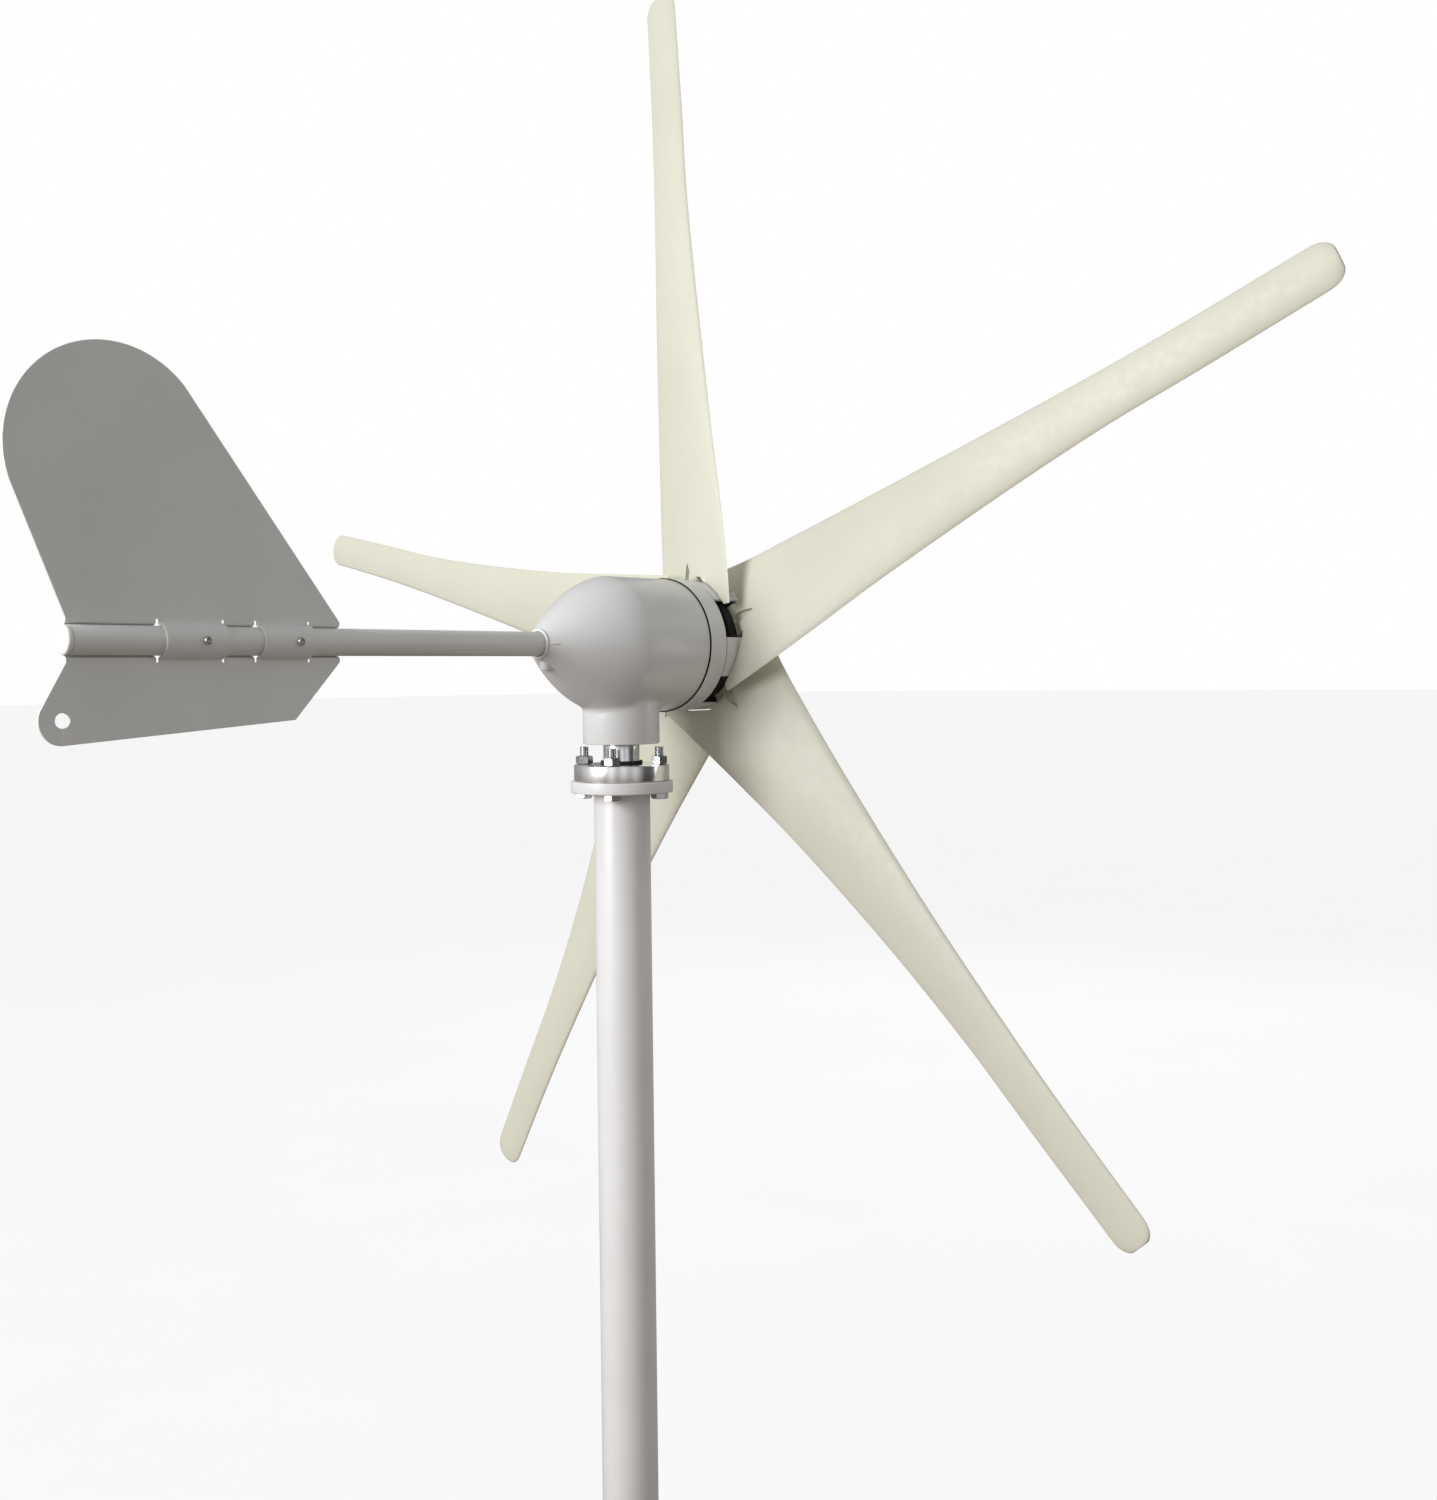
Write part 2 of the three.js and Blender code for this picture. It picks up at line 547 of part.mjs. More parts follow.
// Where the root's end lies along the blade, `across` its axis.
function rootEnd(across) {
  return Math.sqrt(ROOT.arc ** 2 - Math.min(ROOT.corner, Math.abs(across)) ** 2);
}

// One blade pointing up (+Z): +X is upwind, and the trailing edge is on the -Y side.
// `s` runs from the leading edge (0) to the trailing edge (1) of a cross-section.
function bladePoint(station, s, side) {
  const widest = atRadius('lead', station.r) * (1 - s) + atRadius('trail', station.r) * s;
  const up = station.r + station.rootShare * (rootEnd(widest) - ROOT.start);
  const across = (atRadius('lead', up) * (1 - s) + atRadius('trail', up) * s) * station.narrow
    + station.shift;
  const chord = atRadius('trail', up) - atRadius('lead', up);
  const camber = BLADES.camber * chord * 4 * s * (1 - s) * station.narrow;
  const half = (atRadius('thick', up) / 2) * Math.sqrt(Math.max(0.02, 1 - (2 * s - 0.86) ** 2 / 1.32));
  const x = BLADES.planeX + BLADES.coning * up - across * Math.tan(atRadius('pitch', up) * DEG)
    - camber + side * half;
  return new THREE.Vector3(x, -across, up);
}

function bladeStations() {
  const body = [ROOT.start, 76, 100, 130, 165, 200, 260, 320, 420, 500, 570];
  const tip = [1, 0.5, 0.2, 0.04];       // how far each tip section stops short of the end
  const tipLength = 15;
  return [
    ...body.map((r) => ({
      r, rootShare: Math.max(0, 1 - (r - ROOT.start) / ROOT.fade), narrow: 1, shift: 0,
    })),
    ...tip.map((short) => {
      const narrow = 0.4 + 0.6 * Math.sqrt(1 - (1 - short) ** 2);
      return { r: BLADES.radius - short * tipLength, rootShare: 0, narrow, shift: 3 * (1 - narrow) };
    }),
  ];
}

function bladeGeometry() {
  const chordwise = [0, 0.06, 0.15, 0.25, 0.37, 0.5, 0.62, 0.72, 0.83, 0.92, 1];
  const loops = bladeStations().map((station) => {
    const back = chordwise.map((s) => bladePoint(station, s, -1));
    const front = chordwise.slice().reverse().map((s) => bladePoint(station, s, 1));
    return [...back, ...front];
  });
  const shankHalf = SHANK.width / 2;
  const shank = box([SHANK.back, SHANK.front], [-shankHalf, shankHalf], [SHANK.inner, SHANK.outer]);
  return shaped(loft(loops), { adds: [shank], cuts: [leafPocket(), ...bladeBoltHoles()] });
}

// The leaf-shaped pocket in the back of the root, widest a third of the way out.
function leafPocket() {
  const { from, to, width, depth } = LEAF;
  const widest = (from * 2 + to) / 3;
  const outline = new THREE.Shape();
  outline.moveTo(0, from);
  outline.quadraticCurveTo(width, widest, 0, to);
  outline.quadraticCurveTo(-width, widest, 0, from);
  const tool = 30;
  return new THREE.ExtrudeGeometry(outline, { depth: tool, bevelEnabled: false, curveSegments: 4 })
    .rotateX(Math.PI / 2)
    .rotateZ(Math.PI / 2)
    .translate(SHANK.back + depth - tool, 0, 0);
}

const bladeTurn = (i) => (BLADES.firstAngle + (i * 360) / BLADES.count) * DEG;
const bladeBolt = () => zToX(bar(70, 130, BLADE_BOLTS.hole));
const bladeBoltHoles = () => BLADE_BOLTS.circles.map((r) => bladeBolt().translate(0, 0, r));

function hubBoltHoles() {
  return each(BLADES.count, (i) => bladeBoltHoles().map((hole) => hole.rotateX(bladeTurn(i)))).flat();
}

function addBlades() {
  const geometry = bladeGeometry();
  each(BLADES.count, (i) => {
    const blade = place(rotor, `blade_${i + 1}`, geometry, LOOK.blade);
    blade.rotation.x = bladeTurn(i);
  });
}

function addHub() {
  const bore = SHAFT.radius + GAP;
  const plate = turnedX([
    [HUB.bossBack, bore], [HUB.bossBack, HUB.boss], [HUB.back, HUB.boss], [HUB.back, HUB.radius],
    [HUB.front, HUB.radius], [HUB.front, bore],
  ]);
  place(rotor, 'hub', shaped(plate, { cuts: hubBoltHoles() }), LOOK.darkHub);
  const clamp = turnedX(ring(CLAMP.back, CLAMP.front, SHAFT.thread + GAP, CLAMP.radius));
  place(rotor, 'blade_clamp_plate', shaped(clamp, { cuts: hubBoltHoles() }), LOOK.zinc);
  addHubFasteners(CLAMP.front + GAP);
}

function addHubFasteners(seat) {
  const { circles, hex, head, thread, back } = BLADE_BOLTS;
  each(BLADES.count, (i) => circles.forEach((r, row) => {
    const bolt = shaped(hexZ(hex, seat, seat + head), { adds: [bar(back, seat + head / 2, thread)] });
    const name = `blade_bolt_${i + 1}${'ab'[row]}`;
    place(rotor, name, zToX(bolt).translate(0, 0, r).rotateX(bladeTurn(i)), LOOK.zinc);
  }));

  const nut = shaped(zToX(hexZ(SHAFT_NUT.hex, seat, seat + SHAFT_NUT.height)), {
    cuts: [turnedX(rod(seat - 1, seat + SHAFT_NUT.height + 1, SHAFT.thread + GAP))],
  });
  place(rotor, 'shaft_nut', nut, LOOK.zinc);
}

function addShaft() {
  const { rear, seat, radius, thread, step, shoulder, end } = SHAFT;
  const shaft = turnedX([
    [rear, 0], [rear, seat], [step, seat], [step, radius], [shoulder, radius],
    [shoulder, thread], [end, thread], [end, 0],
  ]);
  place(rotor, 'rotor_shaft', shaft, LOOK.steel);
  const magnets = turnedX(ring(MAGNET.x, MAGNET.x + MAGNET.length, radius + GAP, MAGNET.radius));
  place(rotor, 'magnet_rotor', magnets, LOOK.steel);
  const seal = turnedX(ring(SHAFT_SEAL.rear, SHAFT_SEAL.front, radius + GAP, SHAFT_SEAL.outer));
  place(rotor, 'shaft_seal', seal, LOOK.rubber);
}

// The spinner: a dome with a skirt that reaches back between the blade shanks.
function addSpinner() {
  const { radius, wall, skirtBack, domeBack, length, slotHalf } = SPINNER;
  const steps = 7;
  const arc = (r, long) => each(steps + 1, (i) => {
    const turn = (i / steps) * (Math.PI / 2);
    return [domeBack + long * Math.sin(turn), i === steps ? 0 : r * Math.cos(turn)];
  });
  const dome = turnedX([
    ...arc(radius - wall, length - wall).reverse(),
    [skirtBack, radius - wall],
    [skirtBack, radius],
    ...arc(radius, length),
  ], WIDE);
  const slot = () => box([skirtBack - 1, domeBack], [-slotHalf, slotHalf], [radius - 18, radius + 12]);
  const slots = each(BLADES.count, (i) => slot().rotateX(bladeTurn(i)));
  place(rotor, 'nose_cone', shaped(dome, { cuts: slots }), LOOK.spinner);
}

addMast();
addYawShaft();
addFlangeBolts();
addHousing();
addFrontCover();
addNeckParts();
addGenerator();
addBoom();
addVane();
addShaft();
addHub();
addBlades();
addSpinner();

export default turbine;
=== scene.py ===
"""The looks of a small horizontal-axis wind turbine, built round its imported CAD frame.

Shapes are worked out in millimetres in the CAD's frame (+Z up the mast, +X upwind) and
stored in metres. Each visible piece replaces its CAD node and rides on the same body.
"""
import math
import random

import bpy
from mathutils import Matrix, Vector


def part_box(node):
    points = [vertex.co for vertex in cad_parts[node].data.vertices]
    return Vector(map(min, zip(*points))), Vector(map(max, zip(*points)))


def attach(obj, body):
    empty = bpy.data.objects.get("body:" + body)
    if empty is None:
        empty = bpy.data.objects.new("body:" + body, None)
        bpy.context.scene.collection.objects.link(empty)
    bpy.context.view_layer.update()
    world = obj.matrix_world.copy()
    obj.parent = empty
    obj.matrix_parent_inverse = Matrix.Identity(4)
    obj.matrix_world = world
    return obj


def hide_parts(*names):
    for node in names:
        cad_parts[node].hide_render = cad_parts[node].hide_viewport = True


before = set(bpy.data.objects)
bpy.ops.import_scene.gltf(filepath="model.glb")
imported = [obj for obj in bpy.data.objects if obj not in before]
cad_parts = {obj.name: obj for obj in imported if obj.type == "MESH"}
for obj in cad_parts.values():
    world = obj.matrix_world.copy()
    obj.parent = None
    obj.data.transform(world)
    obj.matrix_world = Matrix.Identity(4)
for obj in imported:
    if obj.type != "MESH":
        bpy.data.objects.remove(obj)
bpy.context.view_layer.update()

MM = 0.001


def span(node):
    """Lowest and highest corner of a CAD node, in millimetres."""
    low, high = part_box(node)
    return Vector(low) / MM, Vector(high) / MM


# ------------------------------------------------------------------ driving dimensions

AXIS_Z = (span("rotor_shaft")[0].z + span("rotor_shaft")[1].z) / 2
MAST_R = span("mast_tube")[1].x
MAST_WALL = 3.2
MAST_TOP = span("mast_tube")[1].z
MAST_FLANGE_R = span("mast_flange")[1].x
FLANGE_JOINT = span("mast_flange")[1].z
YAW_FLANGE_R = span("yaw_shaft")[1].x
YAW_FLANGE_TOP = span("flange_nut_1")[0].z
SPINDLE_R, SPINDLE_BORE = 15.7, 9.0

NECK_R, NECK_BORE, NECK_BOTTOM = 33.0, 27.8, span("body_housing")[0].z
NECK_FILLET = 7.0
HOUSING_TAIL, HOUSING_NOSE = -95.0, span("body_housing")[1].x
HOUSING_R, HOUSING_WALL, MOUTH_R, TAPER, TAPER_POWER = 58.2, 3.7, 11.2, 75.0, 1.5
COVER_NOSE, COVER_R = span("front_cover")[1].x, span("front_cover")[1].y
SEAM_STEP, SEAM_DEPTH = 0.7, 2.2

BOOM_R, BOOM_WALL = 10.0, 2.0
BOOM_REAR, BOOM_FRONT = span("tail_boom")[0].x, span("tail_boom")[1].x
SET_SCREW_X, SET_BOSS_R, SET_BOSS_DROP = -86.0, 5.0, 21.5

SHEET = 2.0
STRAP_RANGES = ((-434.0, -385.0), (-359.5, -316.0))
SLEEVE_REAR, SLEEVE_FRONT = -497.6, -289.6
RELIEF, RELIEF_HALF = 2.0, 14.5
VANE_SCREW_XS = (-403.8, -330.4)
VANE_HOLE = (-500.3, -51.3, 5.0)

HUB_BACK, HUB_FRONT, HUB_R = 87.0, 95.7, 51.0
TONGUE_BACK, TONGUE_FRONT, TONGUE_HALF, TONGUE_INNER = 96.0, 104.0, 14.0, 24.0
TONGUE_FLAT = 51.5
CLAMP_BACK, CLAMP_FRONT, CLAMP_R = 104.3, 109.3, 50.0
SPINNER_R, SPINNER_WALL, SKIRT_BACK, DOME_BACK, DOME_LENGTH = 58.0, 2.5, 74.0, 104.6, 59.9
SLOT_HALF = 18.4

BLADE_COUNT, FIRST_BLADE = 5, -6.25
BLADE_R, BLADE_PLANE, CONING, CAMBER = 614.3, 99.3, 0.047, 0.045
# The root ends in an arc round the hub, raised a little beside the tongue and straight beyond
# the corners. Its shape fades out between the radii ROOT_START and ROOT_START + ROOT_FADE.
ROOT_ARC, ROOT_CORNER, ROOT_RISE, ROOT_START, ROOT_FADE = 58.8, 50.6, 3.5, 64.5, 64.0
LEAF_FROM, LEAF_TO, LEAF_HALF, LEAF_DEPTH = 48.5, 76.0, 4.3, 3.8
# Along the blade: radius, leading and trailing edge off the axis, pitch, thickness.
STATIONS = (
    (27, -59, 59, 19, 6),
    (66, -51, 54, 15.5, 6),
    (130, -43.5, 45.5, 11.3, 6),
    (200, -36.5, 36.5, 7.5, 5.4),
    (320, -26.5, 26, 1.5, 4.6),
    (420, -20, 21, 0, 4),
    (500, -16.5, 21, -1, 3.6),
    (615, -14.5, 20, -1.5, 3),
)

# Area lights aimed at the hub: name, azimuth and elevation in degrees, distance, size, watts.
LIGHTS = (
    ("key", 168, 13, 3.0, (1.6, 1.6), 92),
    ("rim", 318, 10, 3.2, (0.7, 2.4), 10),
    ("front", 22, 22, 3.2, (1.8, 1.8), 65),
)
# Strength of the surroundings' light by elevation (0 straight down, 1 straight up), with its tint.
SKY = (
    (0.00, (0.14, 0.105, 0.085)),
    (0.38, (0.19, 0.16, 0.145)),
    (0.50, (0.35, 0.35, 0.35)),
    (1.00, (0.33, 0.335, 0.34)),
)
# The room's brightness by azimuth (turns from +X): as it falls on matt paint, and the light and
# dark panels that polished metal mirrors.
WALLS = (
    (0.00, 1.0), (0.12, 0.8), (0.30, 1.3), (0.46, 1.2), (0.56, 1.15),
    (0.68, 1.35), (0.76, 1.6), (0.84, 0.75), (0.92, 1.1), (1.00, 1.0),
)
PANELS = (
    (0.00, 1.1), (0.12, 0.8), (0.30, 1.3), (0.439, 3.0), (0.514, 1.6), (0.556, 3.2), (0.596, 1.33),
    (0.636, 2.5), (0.677, 1.33), (0.719, 2.1), (0.78, 0.25), (0.84, 0.25), (0.897, 0.97), (1.00, 1.1),
)

# ------------------------------------------------------------------ mesh tools


def add_object(name, points, faces, material, body, node=None, slot=None, sharp=35):
    """A smooth-shaded mesh piece from points in millimetres, riding on a CAD body."""
    mesh = bpy.data.meshes.new(name)
    mesh.from_pydata([(x * MM, y * MM, z * MM) for x, y, z in points], [], faces)
    mesh.validate()
    piece = bpy.data.objects.new(name, mesh)
    bpy.context.scene.collection.objects.link(piece)
    finish_mesh(piece, sharp)
    mesh.materials.append(material)
    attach(piece, body)
    if node:
        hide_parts(*([node] if isinstance(node, str) else node))
    return piece


def finish_mesh(piece, sharp):
    """Makes the normals point out and shades smooth except across edges over `sharp` degrees."""
    import bmesh
    work = bmesh.new()
    work.from_mesh(piece.data)
    bmesh.ops.remove_doubles(work, verts=work.verts, dist=1e-7)
    bmesh.ops.recalc_face_normals(work, faces=work.faces)
    work.to_mesh(piece.data)
    work.free()
    piece.data.shade_smooth()
    piece.data.set_sharp_from_angle(angle=math.radians(sharp))


def apply_modifier(piece, kind, **values):
    """Adds a modifier, applies it at once, and keeps the piece's name and materials."""
    modifier = piece.modifiers.new(kind.lower(), kind)
    for key, value in values.items():
        setattr(modifier, key, value)
    graph = bpy.context.evaluated_depsgraph_get()
    mesh = bpy.data.meshes.new_from_object(piece.evaluated_get(graph))
    piece.modifiers.clear()
    old = piece.data
    piece.data = mesh
    bpy.data.meshes.remove(old)


def softened(corners, steps=4):
    """A closed or open outline of (along, radius, fillet) with each corner turned into an arc."""
    outline = []
    count = len(corners)
    for i, (x, r, fillet) in enumerate(corners):
        here = Vector((x, r))
        before = Vector(corners[i - 1][:2]) - here
        after = Vector(corners[(i + 1) % count][:2]) - here
        if fillet <= 0 or before.length < 1e-9 or after.length < 1e-9:
            outline.append((x, r))
            continue
        half = before.angle(after) / 2
        reach = min(fillet / math.tan(half), before.length * 0.49, after.length * 0.49)
        radius = reach * math.tan(half)
        centre = here + (before.normalized() + after.normalized()).normalized() * (radius / math.sin(half))
        start = here + before.normalized() * reach - centre
        turn = start.angle_signed(here + after.normalized() * reach - centre)
        for step in range(steps + 1):
            spoke = Matrix.Rotation(-turn * step / steps, 2) @ start
            outline.append(tuple(centre + spoke))
    return outline


def revolved(outline, segments, axis="X", centre=(0, 0, 0)):
    """Points and faces of an outline of (along, radius) turned round an axis.

    The outline closes on itself, or on the axis where a radius is 0.
    """
    points, rings = [], []
    cx, cy, cz = centre
    for along, radius in outline:
        if radius < 1e-6:
            rings.append([len(points)])
            points.append(_turned(along, 0, 0, axis, cx, cy, cz))
            continue
        rings.append(list(range(len(points), len(points) + segments)))
        for k in range(segments):
            angle = 2 * math.pi * k / segments
            points.append(_turned(along, radius * math.cos(angle), radius * math.sin(angle), axis, cx, cy, cz))
    faces = []
    pairs = list(zip(rings, rings[1:]))
    if outline[0][1] > 1e-6:
        pairs.append((rings[-1], rings[0]))
    for a, b in pairs:
        faces += bridge(a, b)
    return points, faces


def _turned(along, u, v, axis, cx, cy, cz):
    if axis == "X":
        return (cx + along, cy + u, cz + v)
    if axis == "Y":
        return (cx + v, cy + along, cz + u)
    return (cx + u, cy + v, cz + along)


def bridge(a, b):
    """Faces between two closed rings of point numbers; a ring of one is a centre point."""
    if len(a) == 1 and len(b) == 1:
        return []
    count = max(len(a), len(b))
    faces = []
    for k in range(count):
        n = (k + 1) % count
        if len(a) == 1:
            faces.append((a[0], b[k], b[n]))
        elif len(b) == 1:
            faces.append((a[k], b[0], a[n]))
        else:
            faces.append((a[k], b[k], b[n], a[n]))
    return faces


def joined(*parts):
    """Several (points, faces) as one."""
    points, faces = [], []
    for more_points, more_faces in parts:
        base = len(points)
        points += more_points
        faces += [tuple(i + base for i in face) for face in more_faces]
    return points, faces


def turned_about_x(points, degrees):
    """Points turned about the rotor axis."""
    c, s = math.cos(math.radians(degrees)), math.sin(math.radians(degrees))
    return [(x, y * c - (z - AXIS_Z) * s, AXIS_Z + y * s + (z - AXIS_Z) * c) for x, y, z in points]


def moved(points, by):
    return [(x + by[0], y + by[1], z + by[2]) for x, y, z in points]


# ------------------------------------------------------------------ materials


def add_ramp(nodes, links, source, stops):
    """A value run through (position, value or colour) stops."""
    node = nodes.new("ShaderNodeValToRGB")
    ramp = node.color_ramp
    while len(ramp.elements) < len(stops):
        ramp.elements.new(1.0)
    for element, (position, value) in zip(ramp.elements, stops):
        element.position = position
        element.color = (*value, 1) if isinstance(value, tuple) else (value, value, value, 1)
    links.new(source, node.inputs["Fac"])
    return node.outputs["Color"]


class Look:
    """A node material built step by step round one Principled shader."""

    def __init__(self, name, color, roughness, metallic=0.0, **sockets):
        self.material = bpy.data.materials.new(name)
        self.material.use_nodes = True
        self.nodes = self.material.node_tree.nodes
        self.links = self.material.node_tree.links
        self.shader = self.nodes["Principled BSDF"]
        self.shader.inputs["Base Color"].default_value = (*color, 1)
        self.shader.inputs["Roughness"].default_value = roughness
        self.shader.inputs["Metallic"].default_value = metallic
        for key, value in sockets.items():
            self.shader.inputs[key.replace("_", " ")].default_value = value
        self.coords = self.nodes.new("ShaderNodeTexCoord").outputs["Object"]
        self.normal = None

    def noise(self, scale, detail=4.0, roughness=0.55, stretch=None):
        """Noise over the piece; `scale` is in cells per metre, and stretch scales it by axis."""
        node = self.nodes.new("ShaderNodeTexNoise")
        node.inputs["Scale"].default_value = scale
        node.inputs["Detail"].default_value = detail
        node.inputs["Roughness"].default_value = roughness
        source = self.coords
        if stretch:
            mapping = self.nodes.new("ShaderNodeMapping")
            mapping.inputs["Scale"].default_value = stretch
            self.links.new(source, mapping.inputs["Vector"])
            source = mapping.outputs["Vector"]
        self.links.new(source, node.inputs["Vector"])
        return node.outputs["Fac"]

    def vary_color(self, source, stops):
        self.links.new(add_ramp(self.nodes, self.links, source, stops), self.shader.inputs["Base Color"])
        return self

    def vary_roughness(self, source, stops):
        self.links.new(add_ramp(self.nodes, self.links, source, stops), self.shader.inputs["Roughness"])
        return self

    def bump(self, source, depth_mm, strength=1.0):
        """Adds bump `depth_mm` deep under whatever bump is already there."""
        node = self.nodes.new("ShaderNodeBump")
        node.inputs["Strength"].default_value = strength
        node.inputs["Distance"].default_value = depth_mm * MM
        self.links.new(source, node.inputs["Height"])
        if self.normal:
            self.links.new(self.normal, node.inputs["Normal"])
        self.normal = node.outputs["Normal"]
        self.links.new(self.normal, self.shader.inputs["Normal"])
        return self


def shade(color, factor):
    return tuple(min(1.0, c * factor) for c in color)


def painted(name, color, roughness, peel=0.02, coat=0.25):
    """Sprayed paint: fine orange peel, slow changes of gloss and a little unevenness of colour."""
    look = Look(name, color, roughness, Coat_Weight=coat, Coat_Roughness=0.22)
    slow = look.noise(14, detail=3)
    look.vary_color(slow, [(0.3, shade(color, 0.965)), (0.7, shade(color, 1.03))])
    look.vary_roughness(look.noise(55, detail=5), [(0.3, roughness - 0.05), (0.72, roughness + 0.07)])
    look.bump(look.noise(900, detail=2), peel)
    return look.material


def moulded(name, color, roughness, grain=0.012, soft=0.0):
    """Moulded plastic: faint flow marks, a fine matt grain and a trace of light inside."""
    look = Look(name, color, roughness, Subsurface_Weight=soft, Subsurface_Scale=0.002)
    flow = look.noise(9, detail=3, stretch=(1, 1, 1))
    look.vary_color(flow, [(0.3, shade(color, 0.97)), (0.7, shade(color, 1.02))])
    look.vary_roughness(look.noise(140, detail=4), [(0.3, roughness - 0.05), (0.7, roughness + 0.06)])
    look.bump(look.noise(2200, detail=2), grain)
    return look.material


def machined(name, color, roughness, stretch, depth=0.004):
    """Turned or ground metal: fine tool marks along one direction, and small stains."""
    look = Look(name, color, roughness, metallic=1.0)
    marks = look.noise(2600, detail=3, stretch=stretch)
    look.vary_roughness(marks, [(0.3, max(0.03, roughness - 0.06)), (0.75, roughness + 0.1)])
    look.vary_color(look.noise(90, detail=4), [(0.35, shade(color, 0.93)), (0.7, shade(color, 1.03))])
    look.bump(marks, depth)
    return look.material


def plated(name, color, roughness):
    """Zinc plating: slightly mottled, with a fine pitted grain."""
    look = Look(name, color, roughness, metallic=1.0)
    look.vary_color(look.noise(420, detail=5), [(0.3, shade(color, 0.82)), (0.7, shade(color, 1.05))])
    look.vary_roughness(look.noise(700, detail=3), [(0.3, roughness - 0.08), (0.7, roughness + 0.12)])
    look.bump(look.noise(1800, detail=2), 0.006)
    return look.material


def cast(name, color, roughness):
    """A painted casting with the sand's grain showing through."""
    look = Look(name, color, roughness, Specular_IOR_Level=0.35)
    look.vary_color(look.noise(160, detail=5), [(0.3, shade(color, 0.8)), (0.7, shade(color, 1.25))])
    look.vary_roughness(look.noise(300, detail=4), [(0.3, roughness - 0.08), (0.7, roughness + 0.1)])
    look.bump(look.noise(700, detail=4), 0.08)
    return look.material


def wound(name, color, roughness):
    """Enamelled wire lying side by side."""
    look = Look(name, color, roughness, metallic=0.9)
    strands = look.noise(1500, detail=1, stretch=(1, 0.05, 0.05))
    look.vary_color(strands, [(0.35, shade(color, 0.45)), (0.65, shade(color, 1.15))])
    look.bump(strands, 0.15)
    return look.material


def make_looks():
    return {
        "mast": painted("mast_paint", (0.74, 0.735, 0.73), 0.42, peel=0.03),
        "housing": painted("housing_paint", (0.73, 0.735, 0.73), 0.34, peel=0.015, coat=0.35),
        "vane": painted("vane_paint", (0.72, 0.73, 0.71), 0.45, peel=0.012, coat=0.1),
        "blade": moulded("blade_plastic", (0.63, 0.625, 0.52), 0.45, soft=0.06),
        "white": moulded("white_plastic", (0.78, 0.77, 0.73), 0.38),
        "bright": machined("bright_metal", (0.82, 0.83, 0.84), 0.16, stretch=(0.05, 0.05, 1)),
        "zinc": plated("zinc_plate", (0.62, 0.63, 0.65), 0.22),
        "hub": cast("hub_paint", (0.012, 0.012, 0.012), 0.55),
        "bearing": machined("bearing_steel", (0.72, 0.72, 0.74), 0.14, stretch=(1, 0.05, 0.05)),
        "steel": machined("plain_steel", (0.34, 0.345, 0.36), 0.34, stretch=(1, 0.08, 0.08)),
        "copper": wound("copper_wire", (0.55, 0.25, 0.10), 0.4),
        "rubber": cast("black_rubber", (0.02, 0.02, 0.02), 0.7),
        "insulator": moulded("insulator", (0.035, 0.035, 0.04), 0.5),
    }


# ------------------------------------------------------------------ mast and yaw flange


def bolt_places(pattern_nodes):
    """Centres of the flange bolts in plan, from their CAD nodes."""
    places = []
    for node in pattern_nodes:
        low, high = span(node)
        places.append(((low.x + high.x) / 2, (low.y + high.y) / 2))
    return places


def make_mast(looks):
    tube = softened([
        (0, MAST_R - MAST_WALL, 0.4), (0, MAST_R, 0.6),
        (MAST_TOP, MAST_R, 0.4), (MAST_TOP, MAST_R - MAST_WALL, 0.4),
    ])
    add_object("mast_tube_fine", *revolved(tube, 96, "Z"), looks["mast"], "mast", "mast_tube", "mast_paint")
    low = span("mast_flange")[0].z
    plate = softened([
        (low, 20.9, 0.4), (low, MAST_FLANGE_R, 1.1), (FLANGE_JOINT, MAST_FLANGE_R, 1.1), (FLANGE_JOINT, 20.9, 0.4),
    ])
    add_object("mast_flange_fine", *revolved(plate, 128, "Z"), looks["mast"], "mast", "mast_flange", "mast_paint")
    weld = softened([
        (low - 0.2, MAST_R - 0.6, 0), (low - 3.4, MAST_R - 0.3, 0), (low - 3.2, MAST_R + 0.5, 0.5),
        (low - 1.1, MAST_R + 1.1, 1.4), (low - 0.5, MAST_R + 3.2, 0.5), (low - 0.2, MAST_R + 3.4, 0),
    ])
    points, faces = revolved(weld, 160, "Z")
    ripple = [(x, y, z + 0.12 * math.sin(40 * math.atan2(y, x))) for x, y, z in points]
    add_object("mast_flange_weld", ripple, faces, looks["mast"], "mast", slot="mast_paint", sharp=60)


def make_yaw_shaft(looks):
    low = FLANGE_JOINT + 0.3
    top = span("yaw_shaft")[1].z
    seat = span("yaw_bearing_inner_lower")[0].z - 0.3
    step = span("yaw_lock_nut")[0].z - 0.3
    outline = softened([
        (low, SPINDLE_BORE, 0.4), (low, YAW_FLANGE_R, 0.5), (YAW_FLANGE_TOP - 0.3, YAW_FLANGE_R, 0.9),
        (YAW_FLANGE_TOP - 0.3, SPINDLE_R, 0.8), (seat, SPINDLE_R, 0.4), (seat, 15, 0.1), (step, 15, 0.3),
        (step, 12, 0.2), (top, 12, 0.5), (top, SPINDLE_BORE, 0.3),
    ])
    add_object("yaw_shaft_fine", *revolved(outline, 128, "Z"), looks["bright"], "mast", "yaw_shaft", "bright_metal")
    ring_low, ring_high = span("yaw_dust_ring")
    lip = softened([
        (ring_low.z, 15.9, 0.3), (ring_low.z, 18.6, 0.8), (ring_high.z - 1, 17.9, 0.6),
        (ring_high.z, 18.5, 0.3), (ring_high.z, 17.4, 0.3), (ring_high.z - 1.2, 15.9, 0.3),
    ])
    add_object("yaw_dust_ring_fine", *revolved(lip, 96, "Z"), looks["rubber"], "mast", "yaw_dust_ring", "rubber")


